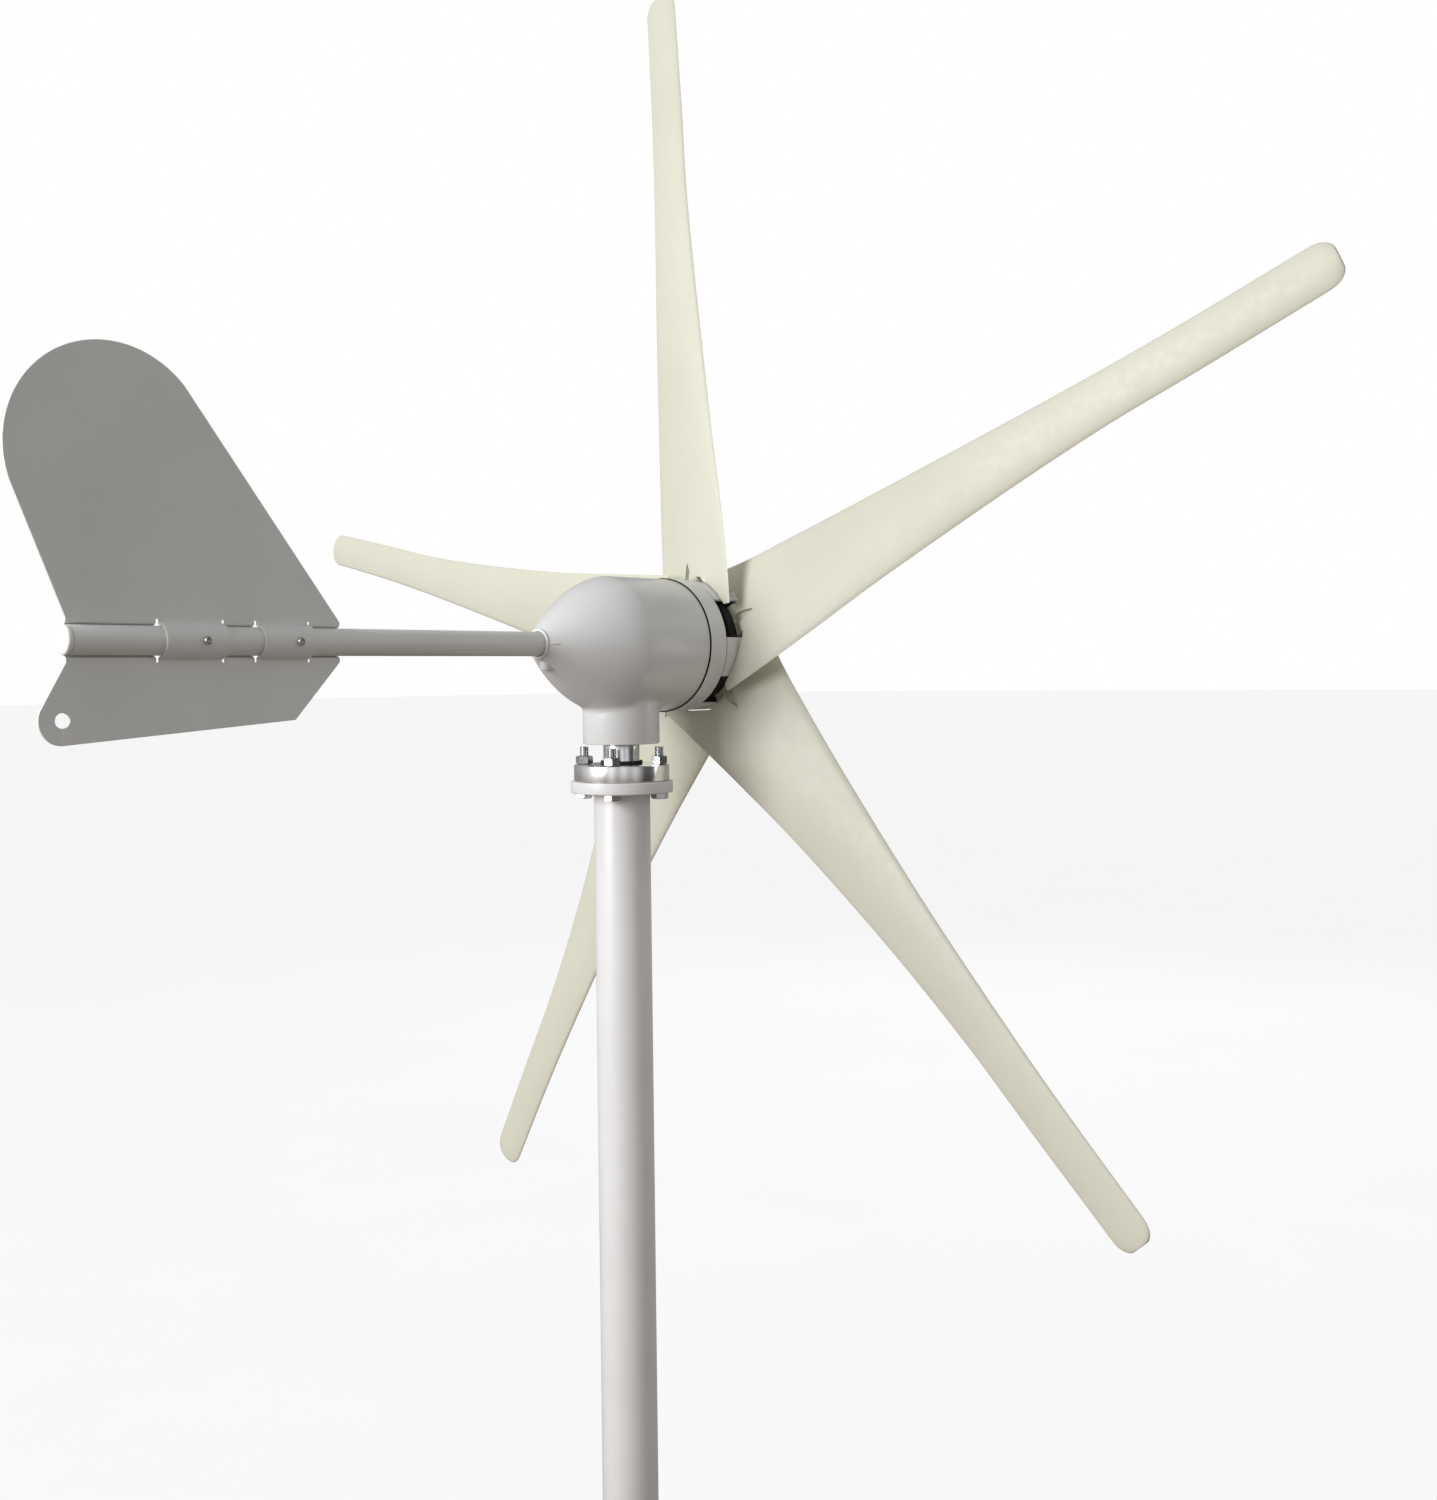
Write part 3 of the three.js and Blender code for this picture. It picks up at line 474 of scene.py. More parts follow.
def hexagon(across, low, high, bore=0.0, chamfer_low=True, chamfer_high=True, steps=12):
    """A hexagon nut or bolt head along Z, with its corners turned off by a 30 degree cone."""
    inner = across / 2 * 0.94
    count = steps * 6

    def edge(k):
        angle = (k % steps) / steps * math.pi / 3 - math.pi / 6
        return across / 2 / math.cos(angle)

    def ring(radius_at, z_at):
        spokes = []
        for k in range(count):
            angle = 2 * math.pi * k / count
            radius = radius_at(k)
            spokes.append((radius * math.cos(angle), radius * math.sin(angle), z_at(radius)))
        return spokes

    drop = math.tan(math.radians(30))
    loops = []
    if bore:
        loops.append(ring(lambda k: bore, lambda r: high - 0.6))
        loops.append(ring(lambda k: bore + 0.6, lambda r: high))
    loops.append(ring(lambda k: inner, lambda r: high))
    loops.append(ring(edge, lambda r: high - (r - inner) * drop * chamfer_high))
    loops.append(ring(edge, lambda r: low + (r - inner) * drop * chamfer_low))
    loops.append(ring(lambda k: inner, lambda r: low))
    if bore:
        loops.append(ring(lambda k: bore + 0.6, lambda r: low))
        loops.append(ring(lambda k: bore, lambda r: low + 0.6))
    points = [p for loop in loops for p in loop]
    rings = [list(range(i * count, (i + 1) * count)) for i in range(len(loops))]
    faces = []
    for a, b in zip(rings, rings[1:]):
        faces += bridge(a, b)
    if bore:
        faces += bridge(rings[-1], rings[0])
    else:
        for ring_ids, z in ((rings[0], high), (rings[-1], low)):
            points.append((0, 0, z))
            faces += bridge([len(points) - 1], ring_ids)
    return points, faces


def threaded(low, high, radius, pitch, plain_to=None, segments=28):
    """A rod along Z with a real helical thread above `plain_to`, its end chamfered."""
    plain_to = low if plain_to is None else plain_to
    depth = pitch * 0.55
    rows = [low, plain_to]
    per_turn = 8
    count = int((high - plain_to) / pitch * per_turn)
    rows += [plain_to + (i + 1) * (high - plain_to) / count for i in range(count)]
    points, rings = [], []
    for z in rows:
        ids = []
        for k in range(segments):
            angle = 2 * math.pi * k / segments
            phase = ((z - plain_to) / pitch - k / segments) % 1.0
            groove = depth * (1 - abs(2 * phase - 1)) * min(1, max(0, (z - plain_to) / pitch))
            end = max(0.0, z - (high - depth * 1.2))
            r = min(radius - groove, radius - end)
            ids.append(len(points))
            points.append((r * math.cos(angle), r * math.sin(angle), z))
        rings.append(ids)
    faces = []
    for a, b in zip(rings, rings[1:]):
        faces += bridge(a, b)
    for ids, z in ((rings[0], low), (rings[-1], high)):
        points.append((0, 0, z))
        faces += bridge([len(points) - 1], ids)
    return points, faces


def spun(points, degrees):
    """Points turned about Z."""
    c, s = math.cos(math.radians(degrees)), math.sin(math.radians(degrees))
    return [(x * c - y * s, x * s + y * c, z) for x, y, z in points]


def make_flange_bolts(looks):
    """M8 bolts from below, each with its nut turned to a slightly different angle."""
    spins = random.Random(8)
    seat = MAST_TOP
    for i, (x, y) in enumerate(bolt_places([f"flange_bolt_{k}" for k in range(1, 5)]), 1):
        tip = span(f"flange_bolt_{i}")[1].z
        head_low = span(f"flange_bolt_{i}")[0].z
        nut_low, nut_high = span(f"flange_nut_{i}")
        turn = spins.uniform(-22, 22)
        head = hexagon(13, head_low, seat, chamfer_high=False)
        rod = threaded(seat - 1, tip, 3.95, 1.25, plain_to=YAW_FLANGE_TOP - 6)
        points, faces = joined(head, rod)
        points = moved(spun(points, turn), (x, y, 0))
        add_object(f"flange_bolt_{i}_fine", points, faces, looks["zinc"], "mast", f"flange_bolt_{i}", "zinc", 28)
        points, faces = hexagon(13, nut_low.z, nut_high.z, bore=4.1)
        points = moved(spun(points, spins.uniform(-25, 25)), (x, y, 0))
        add_object(f"flange_nut_{i}_fine", points, faces, looks["zinc"], "mast", f"flange_nut_{i}", "zinc", 28)


# ------------------------------------------------------------------ housing


def housing_radius(x):
    along = min(1.0, (x - HOUSING_TAIL) / TAPER)
    return MOUTH_R + (HOUSING_R - MOUTH_R) * (1 - (1 - along) ** TAPER_POWER)


def shell_height(across_x, across_y):
    """Height of the housing's underside at a point in plan."""
    radius = housing_radius(across_x)
    return AXIS_Z - math.sqrt(max(0.0, radius * radius - across_y * across_y))


def neck_profile(angle, steps=10):
    """(distance from the yaw axis, height) up the neck and round its fillet, at one angle."""
    dx, dy = math.cos(angle), math.sin(angle)
    centre_r = NECK_R + NECK_FILLET

    def clearance(height):
        nearest = 1e9
        for i in range(60):
            rho = NECK_R + i * 0.28
            gap_r, gap_z = rho - centre_r, shell_height(rho * dx, rho * dy) - height
            nearest = min(nearest, math.hypot(gap_r, gap_z))
        return nearest

    low, high = NECK_BOTTOM, shell_height(centre_r * dx, centre_r * dy)
    for _ in range(30):
        middle = (low + high) / 2
        if clearance(middle) > NECK_FILLET:
            low = middle
        else:
            high = middle
    height = low
    best = min(
        (NECK_R + i * 0.07 for i in range(240)),
        key=lambda rho: math.hypot(rho - centre_r, shell_height(rho * dx, rho * dy) - height),
    )
    contact = math.atan2(shell_height(best * dx, best * dy) - height, best - centre_r)
    profile = []
    for i in range(steps + 1):
        turn = math.pi + (contact - math.pi) * i / steps
        profile.append((centre_r + NECK_FILLET * math.cos(turn), height + NECK_FILLET * math.sin(turn)))
    return profile, best


def neck_mesh():
    """The neck with its fillet into the shell, closed above inside the shell."""
    segments = 144
    rims = [(NECK_BORE, NECK_BOTTOM + 20), (NECK_BORE, NECK_BOTTOM + 0.6), (NECK_BORE + 0.6, NECK_BOTTOM),
            (NECK_R - 0.9, NECK_BOTTOM), (NECK_R - 0.35, NECK_BOTTOM + 0.2), (NECK_R, NECK_BOTTOM + 0.9)]
    columns = []
    for k in range(segments):
        angle = 2 * math.pi * k / segments
        fillet, contact = neck_profile(angle)
        above = shell_height(contact * math.cos(angle), contact * math.sin(angle)) + 1.2
        column = rims + fillet + [(contact, above), (NECK_BORE, above + 1.0)]
        columns.append([(r * math.cos(angle), r * math.sin(angle), z) for r, z in column])
    rows = len(columns[0])
    points = [columns[k][row] for row in range(rows) for k in range(segments)]
    rings = [list(range(row * segments, (row + 1) * segments)) for row in range(rows)]
    faces = []
    for a, b in zip(rings, rings[1:] + rings[:1]):
        faces += bridge(a, b)
    return points, faces


def make_housing(looks):
    """The casting: bullet shell, neck, boom mouth with its rim, set-screw boss and parting rib."""
    steps = 40
    taper = [(HOUSING_TAIL + 1.6 + (TAPER - 1.6) * i / steps) for i in range(steps + 1)]
    outer = [(x, housing_radius(x), 0) for x in taper]
    inner = [(x, housing_radius(x) - HOUSING_WALL, 0) for x in taper if x > BOOM_FRONT + 8]
    rim = outer[0][1]
    outline = softened([
        (HOUSING_TAIL - 1, BOOM_R + 0.3, 0.6), (HOUSING_TAIL - 1, rim, 0.9),
        *outer,
        (HOUSING_NOSE, HOUSING_R, 0.25), (HOUSING_NOSE, HOUSING_R - HOUSING_WALL, 0.3),
        *reversed(inner),
        (BOOM_FRONT + 8, BOOM_R + 0.3, 0.3),
    ])
    shell = revolved(outline, 160, "X", (0, 0, AXIS_Z))
    boss = softened([
        (-SET_BOSS_DROP, 3.3, 0.3), (-SET_BOSS_DROP, SET_BOSS_R, 0.8), (-SET_BOSS_DROP + 8, SET_BOSS_R + 0.6, 0),
        (-12, SET_BOSS_R + 0.6, 0), (-12, 3.3, 0),
    ])
    boss_mesh = revolved(boss, 40, "Z", (SET_SCREW_X, 0, AXIS_Z))
    points, faces = joined(shell, neck_mesh(), boss_mesh)
    add_object("body_housing_fine", points, faces, looks["housing"], "nacelle", "body_housing", "housing_paint", 32)
    make_parting_rib(looks)


def make_parting_rib(looks):
    """A short raised rib on each side of the mouth, where the casting's halves part."""
    for side, name in ((-1, "left"), (1, "right")):
        rows, points = 12, []
        for i in range(rows + 1):
            x = -93.5 + 6.5 * i / rows
            proud = 1.7 * math.sin(math.pi * i / rows) ** 0.5
            for k in range(7):
                turn = math.pi * (k / 6 - 0.5)
                y = side * (housing_radius(x) - 0.4 + proud * math.cos(turn))
                points.append((x, y, AXIS_Z + 0.9 * math.sin(turn)))
        faces = []
        for i in range(rows):
            for k in range(7):
                a, b = i * 7 + k, i * 7 + (k + 1) % 7
                faces.append((a, b, b + 7, a + 7))
        faces += [tuple(range(7)), tuple(range(rows * 7, rows * 7 + 7))]
        add_object(f"housing_rib_{name}", points, faces, looks["housing"], "nacelle", slot="housing_paint", sharp=60)


def make_cover(looks):
    low = HOUSING_NOSE + 0.3
    wall, pocket = COVER_NOSE - 6.4, 21.0
    outline = softened([
        (low, COVER_R - 4.6, 0.3), (low, COVER_R - SEAM_DEPTH, 0.1), (low + SEAM_STEP, COVER_R - SEAM_DEPTH, 0.1),
        (low + SEAM_STEP, COVER_R, 0.2), (COVER_NOSE, COVER_R, 2.0), (COVER_NOSE, 16.7, 0.5),
        (70.4, 16.7, 0.2), (70.4, pocket, 0.2), (60.3, pocket, 0.3), (60.3, pocket + 5, 0.5),
        (wall, pocket + 5, 1), (wall, COVER_R - 4.6, 1.5),
    ])
    points, faces = revolved(outline, 160, "X", (0, 0, AXIS_Z))
    cover = add_object("front_cover_fine", points, faces, looks["housing"], "nacelle", "front_cover", "housing_paint", 32)
    # The cover's rear face and step inside the seam take the black hub paint: painted shade in the gap between cover
    # and housing.
    cover.data.materials.append(looks["hub"])
    for face in cover.data.polygons:
        radius = math.hypot(face.center.y, face.center.z - AXIS_Z * MM) / MM
        if face.center.x / MM < low + SEAM_STEP + 0.01 and radius < COVER_R - 0.1:
            face.material_index = 1


def make_boom(looks):
    tube = softened([
        (BOOM_REAR, BOOM_R - BOOM_WALL, 0.3), (BOOM_REAR, BOOM_R, 0.3),
        (BOOM_FRONT, BOOM_R, 0.3), (BOOM_FRONT, BOOM_R - BOOM_WALL, 0.3),
    ])
    points, faces = revolved(tube, 72, "X", (0, 0, AXIS_Z))
    add_object("tail_boom_fine", points, faces, looks["vane"], "nacelle", "tail_boom", "housing_paint")
    rear = span("boom_end_cap")[0].x
    cap = softened([
        (rear, 0, 0), (rear, BOOM_R, 2.4), (BOOM_REAR - 0.3, BOOM_R, 0.4), (BOOM_REAR - 0.3, BOOM_R - 2.3, 0.2),
        (BOOM_REAR + 10, BOOM_R - 2.3, 1.0), (BOOM_REAR + 10, 0, 0),
    ])
    points, faces = revolved(cap, 64, "X", (0, 0, AXIS_Z))
    add_object("boom_end_cap_fine", points, faces, looks["white"], "nacelle", "boom_end_cap", "white_plastic")
    low, high = span("boom_set_screw")
    points, faces = threaded(low.z, high.z, 2.95, 1.0, segments=24)
    points = moved(points, (SET_SCREW_X, 0, 0))
    add_object("boom_set_screw_fine", points, faces, looks["zinc"], "nacelle", "boom_set_screw", "zinc", 30)


# ------------------------------------------------------------------ vane


def arc_points(cx, cz, radius, start, end, steps):
    return [
        (cx + radius * math.cos(math.radians(start + (end - start) * i / steps)),
         cz + radius * math.sin(math.radians(start + (end - start) * i / steps)))
        for i in range(steps + 1)
    ]


def vane_edges():
    """The outlines above and below the boom, each from the front corner round to the rear."""
    above = [(-291.5, 13.2)] + arc_points(-464, 122, 72, 43, 199, 40) + [(-498.9, 13.2)]
    hole_x, hole_z, _ = VANE_HOLE
    below = [(-290, -13.2), (-328, -55.5)] + arc_points(hole_x, hole_z, 16, 278 - 360, 157 - 360, 18)
    below += [(-497.9, -13.2)]
    return above, below


def slot_edges():
    """x of every strap boundary, as (left, right) pairs of sleeve ranges with their sides."""
    edges = [x for pair in STRAP_RANGES for x in pair]
    half = RELIEF / 2
    bounds = [SLEEVE_REAR - half, *edges, SLEEVE_FRONT + half]
    return [(a + half, b - half, -1 if i % 2 else 1) for i, (a, b) in enumerate(zip(bounds, bounds[1:]))]


def sleeve_section(side, steps=20):
    """(y, z) down the middle of the sheet where it bends round the boom."""
    radius = BOOM_R + 0.35 + SHEET / 2
    top = RELIEF_HALF
    lead = [(0.0, top), (0.0, radius + 1.6)]
    bend = [(side * 0.25, radius + 0.7), (side * 1.1, radius + 0.05)]
    around = []
    for i in range(1, steps):
        turn = math.pi * i / steps
        around.append((side * max(1.6, radius * math.sin(turn)), radius * math.cos(turn)))
    mirror = [(y, -z) for y, z in reversed(lead + bend)]
    return lead + bend + around + mirror


def make_vane(looks):
    import bmesh
    work = bmesh.new()

    def vertex(x, y, z):
        return work.verts.new((x * MM, y * MM, (z + AXIS_Z) * MM))

    ranges = slot_edges()
    tops, bottoms = [], []
    for left, right, side in ranges:
        section = sleeve_section(side)
        columns = [[vertex(x, y, z) for y, z in section] for x in (left, right)]
        for a, b, c, d in zip(columns[0], columns[0][1:], columns[1][1:], columns[1]):
            work.faces.new((a, b, c, d))
        tops += [columns[0][0], columns[1][0]]
        bottoms += [columns[0][-1], columns[1][-1]]
    above, below = vane_edges()
    upper = [vertex(x, 0, z) for x, z in above[1:-1]]
    lower = [vertex(x, 0, z) for x, z in below[1:-1]]
    work.faces.new(upper + tops)
    hole = [vertex(VANE_HOLE[0] + VANE_HOLE[2] * math.cos(a), 0, VANE_HOLE[1] + VANE_HOLE[2] * math.sin(a))
            for a in (2 * math.pi * i / 24 for i in range(24))]
    outline = lower + bottoms
    edges = [work.edges.get((a, b)) or work.edges.new((a, b)) for a, b in zip(outline, outline[1:] + outline[:1])]
    edges += [work.edges.new((a, b)) for a, b in zip(hole, hole[1:] + hole[:1])]
    bmesh.ops.triangle_fill(work, use_beauty=True, use_dissolve=False, edges=edges)
    mesh = bpy.data.meshes.new("tail_vane_fine")
    bmesh.ops.recalc_face_normals(work, faces=work.faces)
    work.to_mesh(mesh)
    work.free()
    piece = bpy.data.objects.new("tail_vane_fine", mesh)
    bpy.context.scene.collection.objects.link(piece)
    apply_modifier(piece, "SOLIDIFY", thickness=SHEET * MM, offset=0, use_even_offset=True)
    apply_modifier(piece, "BEVEL", width=0.35 * MM, segments=2, limit_method="ANGLE", angle_limit=math.radians(50))
    finish_mesh(piece, 20)
    piece.data.materials.append(looks["vane"])
    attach(piece, "nacelle")
    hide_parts("tail_vane")
    make_vane_screws(looks)


def make_vane_screws(looks):
    """Button-head screws through strap and boom, with a round socket recess, and their nuts behind."""
    for i in (1, 2):
        low, high = span(f"vane_screw_{i}")
        x = (low.x + high.x) / 2
        seat = low.y + 2.4
        head = softened([
            (low.y + 2.1, 0, 0), (low.y + 2.1, 1.55, 0), (low.y, 1.65, 0.1), (low.y, 2.4, 0.7),
            (seat, 3.5, 0.4), (seat, 1.95, 0), (high.y, 1.95, 0.4), (high.y, 0, 0),
        ])
        points, faces = revolved(head, 48, "Y", (x, 0, AXIS_Z))
        add_object(f"vane_screw_{i}_fine", points, faces, looks["zinc"], "nacelle", f"vane_screw_{i}", "zinc", 30)
        nut_low, nut_high = span(f"vane_nut_{i}")
        points, faces = hexagon(7, nut_low.y, nut_high.y, bore=2.05)
        points = [(x + u, v, AXIS_Z + w) for u, w, v in points]
        add_object(f"vane_nut_{i}_fine", points, faces, looks["zinc"], "nacelle", f"vane_nut_{i}", "zinc", 28)


# ------------------------------------------------------------------ rotor


def at_radius(column, radius):
    """A column of STATIONS at a radius, by smooth (Catmull-Rom) interpolation."""
    last = len(STATIONS) - 1
    i = 0
    while i < last - 1 and STATIONS[i + 1][0] < radius:
        i += 1
    before, a, b, after = (STATIONS[min(last, max(0, k))] for k in (i - 1, i, i + 1, i + 2))
    width = b[0] - a[0]
    t = min(1.0, max(0.0, (radius - a[0]) / width))
    slope_a = (b[column] - before[column]) / (b[0] - before[0]) * width
    slope_b = (after[column] - a[column]) / (after[0] - a[0]) * width
    return ((2 * t**3 - 3 * t**2 + 1) * a[column] + (t**3 - 2 * t**2 + t) * slope_a
            + (3 * t**2 - 2 * t**3) * b[column] + (t**3 - t**2) * slope_b)


def smooth_step(value, low, high):
    t = min(1.0, max(0.0, (value - low) / (high - low)))
    return t * t * (3 - 2 * t)


def leaf_half(up):
    """Half the width of the leaf-shaped pocket in the back of a blade's root."""
    along = min(1.0, max(0.0, (up - LEAF_FROM) / (LEAF_TO - LEAF_FROM)))
    return LEAF_HALF * math.sin(math.pi * along ** 0.72)


def leaf_depth(across, up):
    """Depth of the pocket: a steep wall inside its outline, then a gently hollow floor."""
    half = leaf_half(up)
    inside = half - abs(across)
    if inside <= 0:
        return 0.0
    wall = 0.35
    return LEAF_DEPTH * min(1.0, inside / wall) * min(1.0, half / 1.6)


def root_end(across):
    """Where the blade's shoulders end along the blade, at a distance across its axis."""
    reach = abs(across)
    rise = ROOT_RISE * (1 - smooth_step(reach, 22, 34))
    return math.sqrt(ROOT_ARC**2 - min(ROOT_CORNER, reach) ** 2) + rise


def edge_rounding(s):
    """1 along most of the chord, falling to 0 round the leading and trailing edges."""
    lead, trail = min(1.0, s / 0.07), min(1.0, (1 - s) / 0.045)
    return math.sqrt(1 - (1 - lead) ** 2) * math.sqrt(1 - (1 - trail) ** 2)


def on_blade(across, up, s, side, narrow=1.0, flat=0.0):
    """The blade's back (side -1) or front (side 1) at a place across and up its axis.

    `flat` is how far it has turned into the tongue's flat bar.
    """
    chord = at_radius(2, up) - at_radius(1, up)
    camber = CAMBER * chord * 4 * s * (1 - s) * narrow
    body = math.sqrt(max(0.0, 1 - (2 * s - 0.86) ** 2 / 1.32))
    half = at_radius(4, up) / 2 * body * edge_rounding(s)
    x = BLADE_PLANE + CONING * up - across * math.tan(math.radians(at_radius(3, up))) - camber + side * half
    x += flat * ((TONGUE_FRONT if side > 0 else TONGUE_BACK) - x)
    if side < 0:
        x += leaf_depth(across, up)
    return (x, -across, AXIS_Z + up)


def blade_point(station, step, side):
    """A point of a main section; a step holds its share of the chord and its place by the leaf."""
    radius, root_share, narrow, shift = station
    s, leaf = step
    up, across = radius, 0.0
    for _ in range(4):
        across = (at_radius(1, up) * (1 - s) + at_radius(2, up) * s) * narrow + shift
        across += leaf_pull(across, up, leaf)
        if root_share > 0:
            up = radius + root_share * (root_end(across) - ROOT_START)
    if narrow == 1.0:
        s = chord_share(across, up)
    return on_blade(across, up, s, side, narrow)


def chord_share(across, up):
    lead, trail = at_radius(1, up), at_radius(2, up)
    return min(1.0, max(0.0, (across - lead) / (trail - lead)))


def leaf_pull(across, up, leaf):
    """Draws a chord line on to the leaf's outline, or a share of the way in from it."""
    if leaf is None:
        return 0.0
    place = max(0.25, leaf_half(up)) * leaf
    return (place - across) * (1 - smooth_step(up, LEAF_TO + 4, LEAF_TO + 40))


def tongue_point(up, step, side):
    """A point of the tongue, whose sides are parallel."""
    s, leaf = step
    start = root_end(TONGUE_HALF)
    across = at_radius(1, start) * (1 - s) + at_radius(2, start) * s
    across += leaf_pull(across, up, leaf)
    flat = 1 - smooth_step(up, TONGUE_FLAT, start)
    return on_blade(across, up, chord_share(across, up), side, flat=flat)


def blade_rows():
    """Sections along a blade as (radius, share of the root's end, narrowing, shift)."""
    radii = []
    radius = ROOT_START
    while radius < BLADE_R - 16:
        radii.append(radius)
        radius += 0.5 if radius < 84 else 2.5 if radius < 140 else 10
    rows = [(r, max(0.0, 1 - (r - ROOT_START) / ROOT_FADE), 1.0, 0.0) for r in radii]
    tip_steps, tip_length = 16, 15.0
    for i in range(tip_steps + 1):
        turn = math.pi / 2 * i / tip_steps
        narrow = 0.4 + 0.6 * math.cos(turn)
        rows.append((BLADE_R - tip_length + tip_length * math.sin(turn), 0.0, narrow, 3 * (1 - narrow)))
    return rows


def chord_steps():
    """Chordwise steps as (share of the chord, place by the leaf); close at both edges."""
    nose = [0, 0.001, 0.004, 0.01, 0.02, 0.035, 0.055, 0.08, 0.12, 0.17, 0.22, 0.27, 0.31]
    tongue = [0.353, 0.365, 0.39, 0.42, 0.445]
    beyond = [0.53, 0.555, 0.585, 0.608, 0.6175]
    tail = [0.65, 0.7, 0.76, 0.82, 0.87, 0.91, 0.94, 0.962, 0.978, 0.988, 0.995, 0.999, 1.0]
    outlines = [-1.0, -0.98, -0.85, -0.6, -0.3, 0.0, 0.3, 0.6, 0.85, 0.98, 1.0]
    leaf = [(0.487 + 0.0035 * place, place) for place in outlines]
    plain = [[(s, None) for s in group] for group in (nose, tongue, beyond, tail)]
    return plain[0] + plain[1] + leaf + plain[2] + plain[3], len(nose), len(tongue) + len(leaf) + len(beyond)


def blade_mesh():
    """Main sections from the root's arc to the tip, and the tongue that reaches in to the hub."""
    steps, first, wide = chord_steps()
    last = first + wide - 1
    loops = []
    for station in blade_rows():
        back = [blade_point(station, step, -1) for step in steps]
        front = [blade_point(station, step, 1) for step in reversed(steps)]
        loops.append(back + front)
    count = len(loops[0])
    points = [p for loop in loops for p in loop]
    rings = [list(range(i * count, (i + 1) * count)) for i in range(len(loops))]
    faces = []
    for a, b in zip(rings, rings[1:]):
        faces += bridge(a, b)
    root, tip = rings[0], rings[-1]
    pairs = [i for i in range(count // 2 - 1)]
    faces += [(tip[i], tip[i + 1], tip[count - 2 - i], tip[count - 1 - i]) for i in pairs]
    faces += [(root[i], root[i + 1], root[count - 2 - i], root[count - 1 - i])
              for i in pairs if not first <= i < last]
    ring = root[first:last + 1] + root[count - 1 - last:count - first]
    top = min(root_end(TONGUE_HALF), root_end(0))
    rows = 50
    for row in range(1, rows + 1):
        up = top + (TONGUE_INNER - top) * row / rows
        loop = [tongue_point(up, step, -1) for step in steps[first:last + 1]]
        loop += [tongue_point(up, step, 1) for step in reversed(steps[first:last + 1])]
        ids = list(range(len(points), len(points) + len(loop)))
        points += loop
        faces += bridge(ring, ids)
        ring = ids
    width = len(ring)
    faces += [(ring[i], ring[i + 1], ring[width - 2 - i], ring[width - 1 - i]) for i in range(width // 2 - 1)]
    return points, faces


def make_blades(looks):
    points, faces = blade_mesh()
    for i in range(BLADE_COUNT):
        turned = turned_about_x(points, FIRST_BLADE + i * 360 / BLADE_COUNT)
        name = f"blade_{i + 1}"
        add_object(f"{name}_fine", turned, faces, looks["blade"], "rotor", name, "blade_plastic", 40)


def make_hub(looks):
    """The black disc behind the blade roots, with its boss on the shaft."""
    disc = softened([
        (78.5, 10.3, 0.3), (78.5, 16, 0.8), (HUB_BACK, 16, 2.0), (HUB_BACK, HUB_R, 1.2),
        (HUB_FRONT, HUB_R, 0.6), (HUB_FRONT, 10.3, 0.3),
    ])
    points, faces = revolved(disc, 128, "X", (0, 0, AXIS_Z))
    add_object("hub_fine", points, faces, looks["hub"], "rotor", "hub", "hub_paint", 35)


def make_spinner(looks):
    """The nose cone: a dome with five tabs that reach back between the blade roots."""
    import bmesh
    sector, steps = 360 / BLADE_COUNT, 36
    slot_half = math.degrees(math.asin(SLOT_HALF / SPINNER_R))
    angles = []
    for i in range(BLADE_COUNT):
        middle = FIRST_BLADE + i * sector
        for k in range(steps):
            angles.append(middle + slot_half + (sector - 2 * slot_half) * k / (steps - 1) if k < steps
                          else 0)
        for k in range(1, 10):
            angles.append(middle + sector - slot_half + 2 * slot_half * k / 10)
    per = steps + 9
    dome_steps = 30
    radius = SPINNER_R - SPINNER_WALL / 2
    skirt = [SKIRT_BACK + SPINNER_WALL * 0 + (DOME_BACK - SKIRT_BACK) * i / 8 for i in range(9)]
    length = DOME_LENGTH - SPINNER_WALL / 2
    dome = [(DOME_BACK + length * math.sin(math.pi / 2 * i / dome_steps), radius * math.cos(math.pi / 2 * i / dome_steps))
            for i in range(1, dome_steps)]
    rows = [(x, radius) for x in skirt] + dome
    work = bmesh.new()
    grid = {}
    for r, (x, rad) in enumerate(rows):
        for a, angle in enumerate(angles):
            in_slot = a % per >= steps
            if in_slot and r < len(skirt) - 1:
                continue
            turn = math.radians(angle)
            grid[r, a] = work.verts.new((x * MM, -rad * math.sin(turn) * MM, (AXIS_Z + rad * math.cos(turn)) * MM))
    tip = work.verts.new(((DOME_BACK + length) * MM, 0, AXIS_Z * MM))
    total = len(angles)
    for r in range(len(rows) - 1):
        for a in range(total):
            corners = [grid.get((r, a)), grid.get((r, (a + 1) % total)), grid.get((r + 1, (a + 1) % total)), grid.get((r + 1, a))]
            over_slot = r < len(skirt) - 1 and a % per >= steps - 1
            if None in corners or over_slot:
                continue
            work.faces.new(corners)
    last = len(rows) - 1
    for a in range(total):
        work.faces.new((grid[last, a], grid[last, (a + 1) % total], tip))
    bmesh.ops.recalc_face_normals(work, faces=work.faces)
    mesh = bpy.data.meshes.new("nose_cone_fine")
    work.to_mesh(mesh)
    work.free()
    piece = bpy.data.objects.new("nose_cone_fine", mesh)
    bpy.context.scene.collection.objects.link(piece)
    apply_modifier(piece, "SOLIDIFY", thickness=SPINNER_WALL * MM, offset=0, use_even_offset=True)
    apply_modifier(piece, "BEVEL", width=0.5 * MM, segments=3, limit_method="ANGLE", angle_limit=math.radians(45))
    finish_mesh(piece, 35)
    piece.data.materials.append(looks["white"])
    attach(piece, "rotor")
    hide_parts("nose_cone")


# ------------------------------------------------------------------ CAD pieces that stay

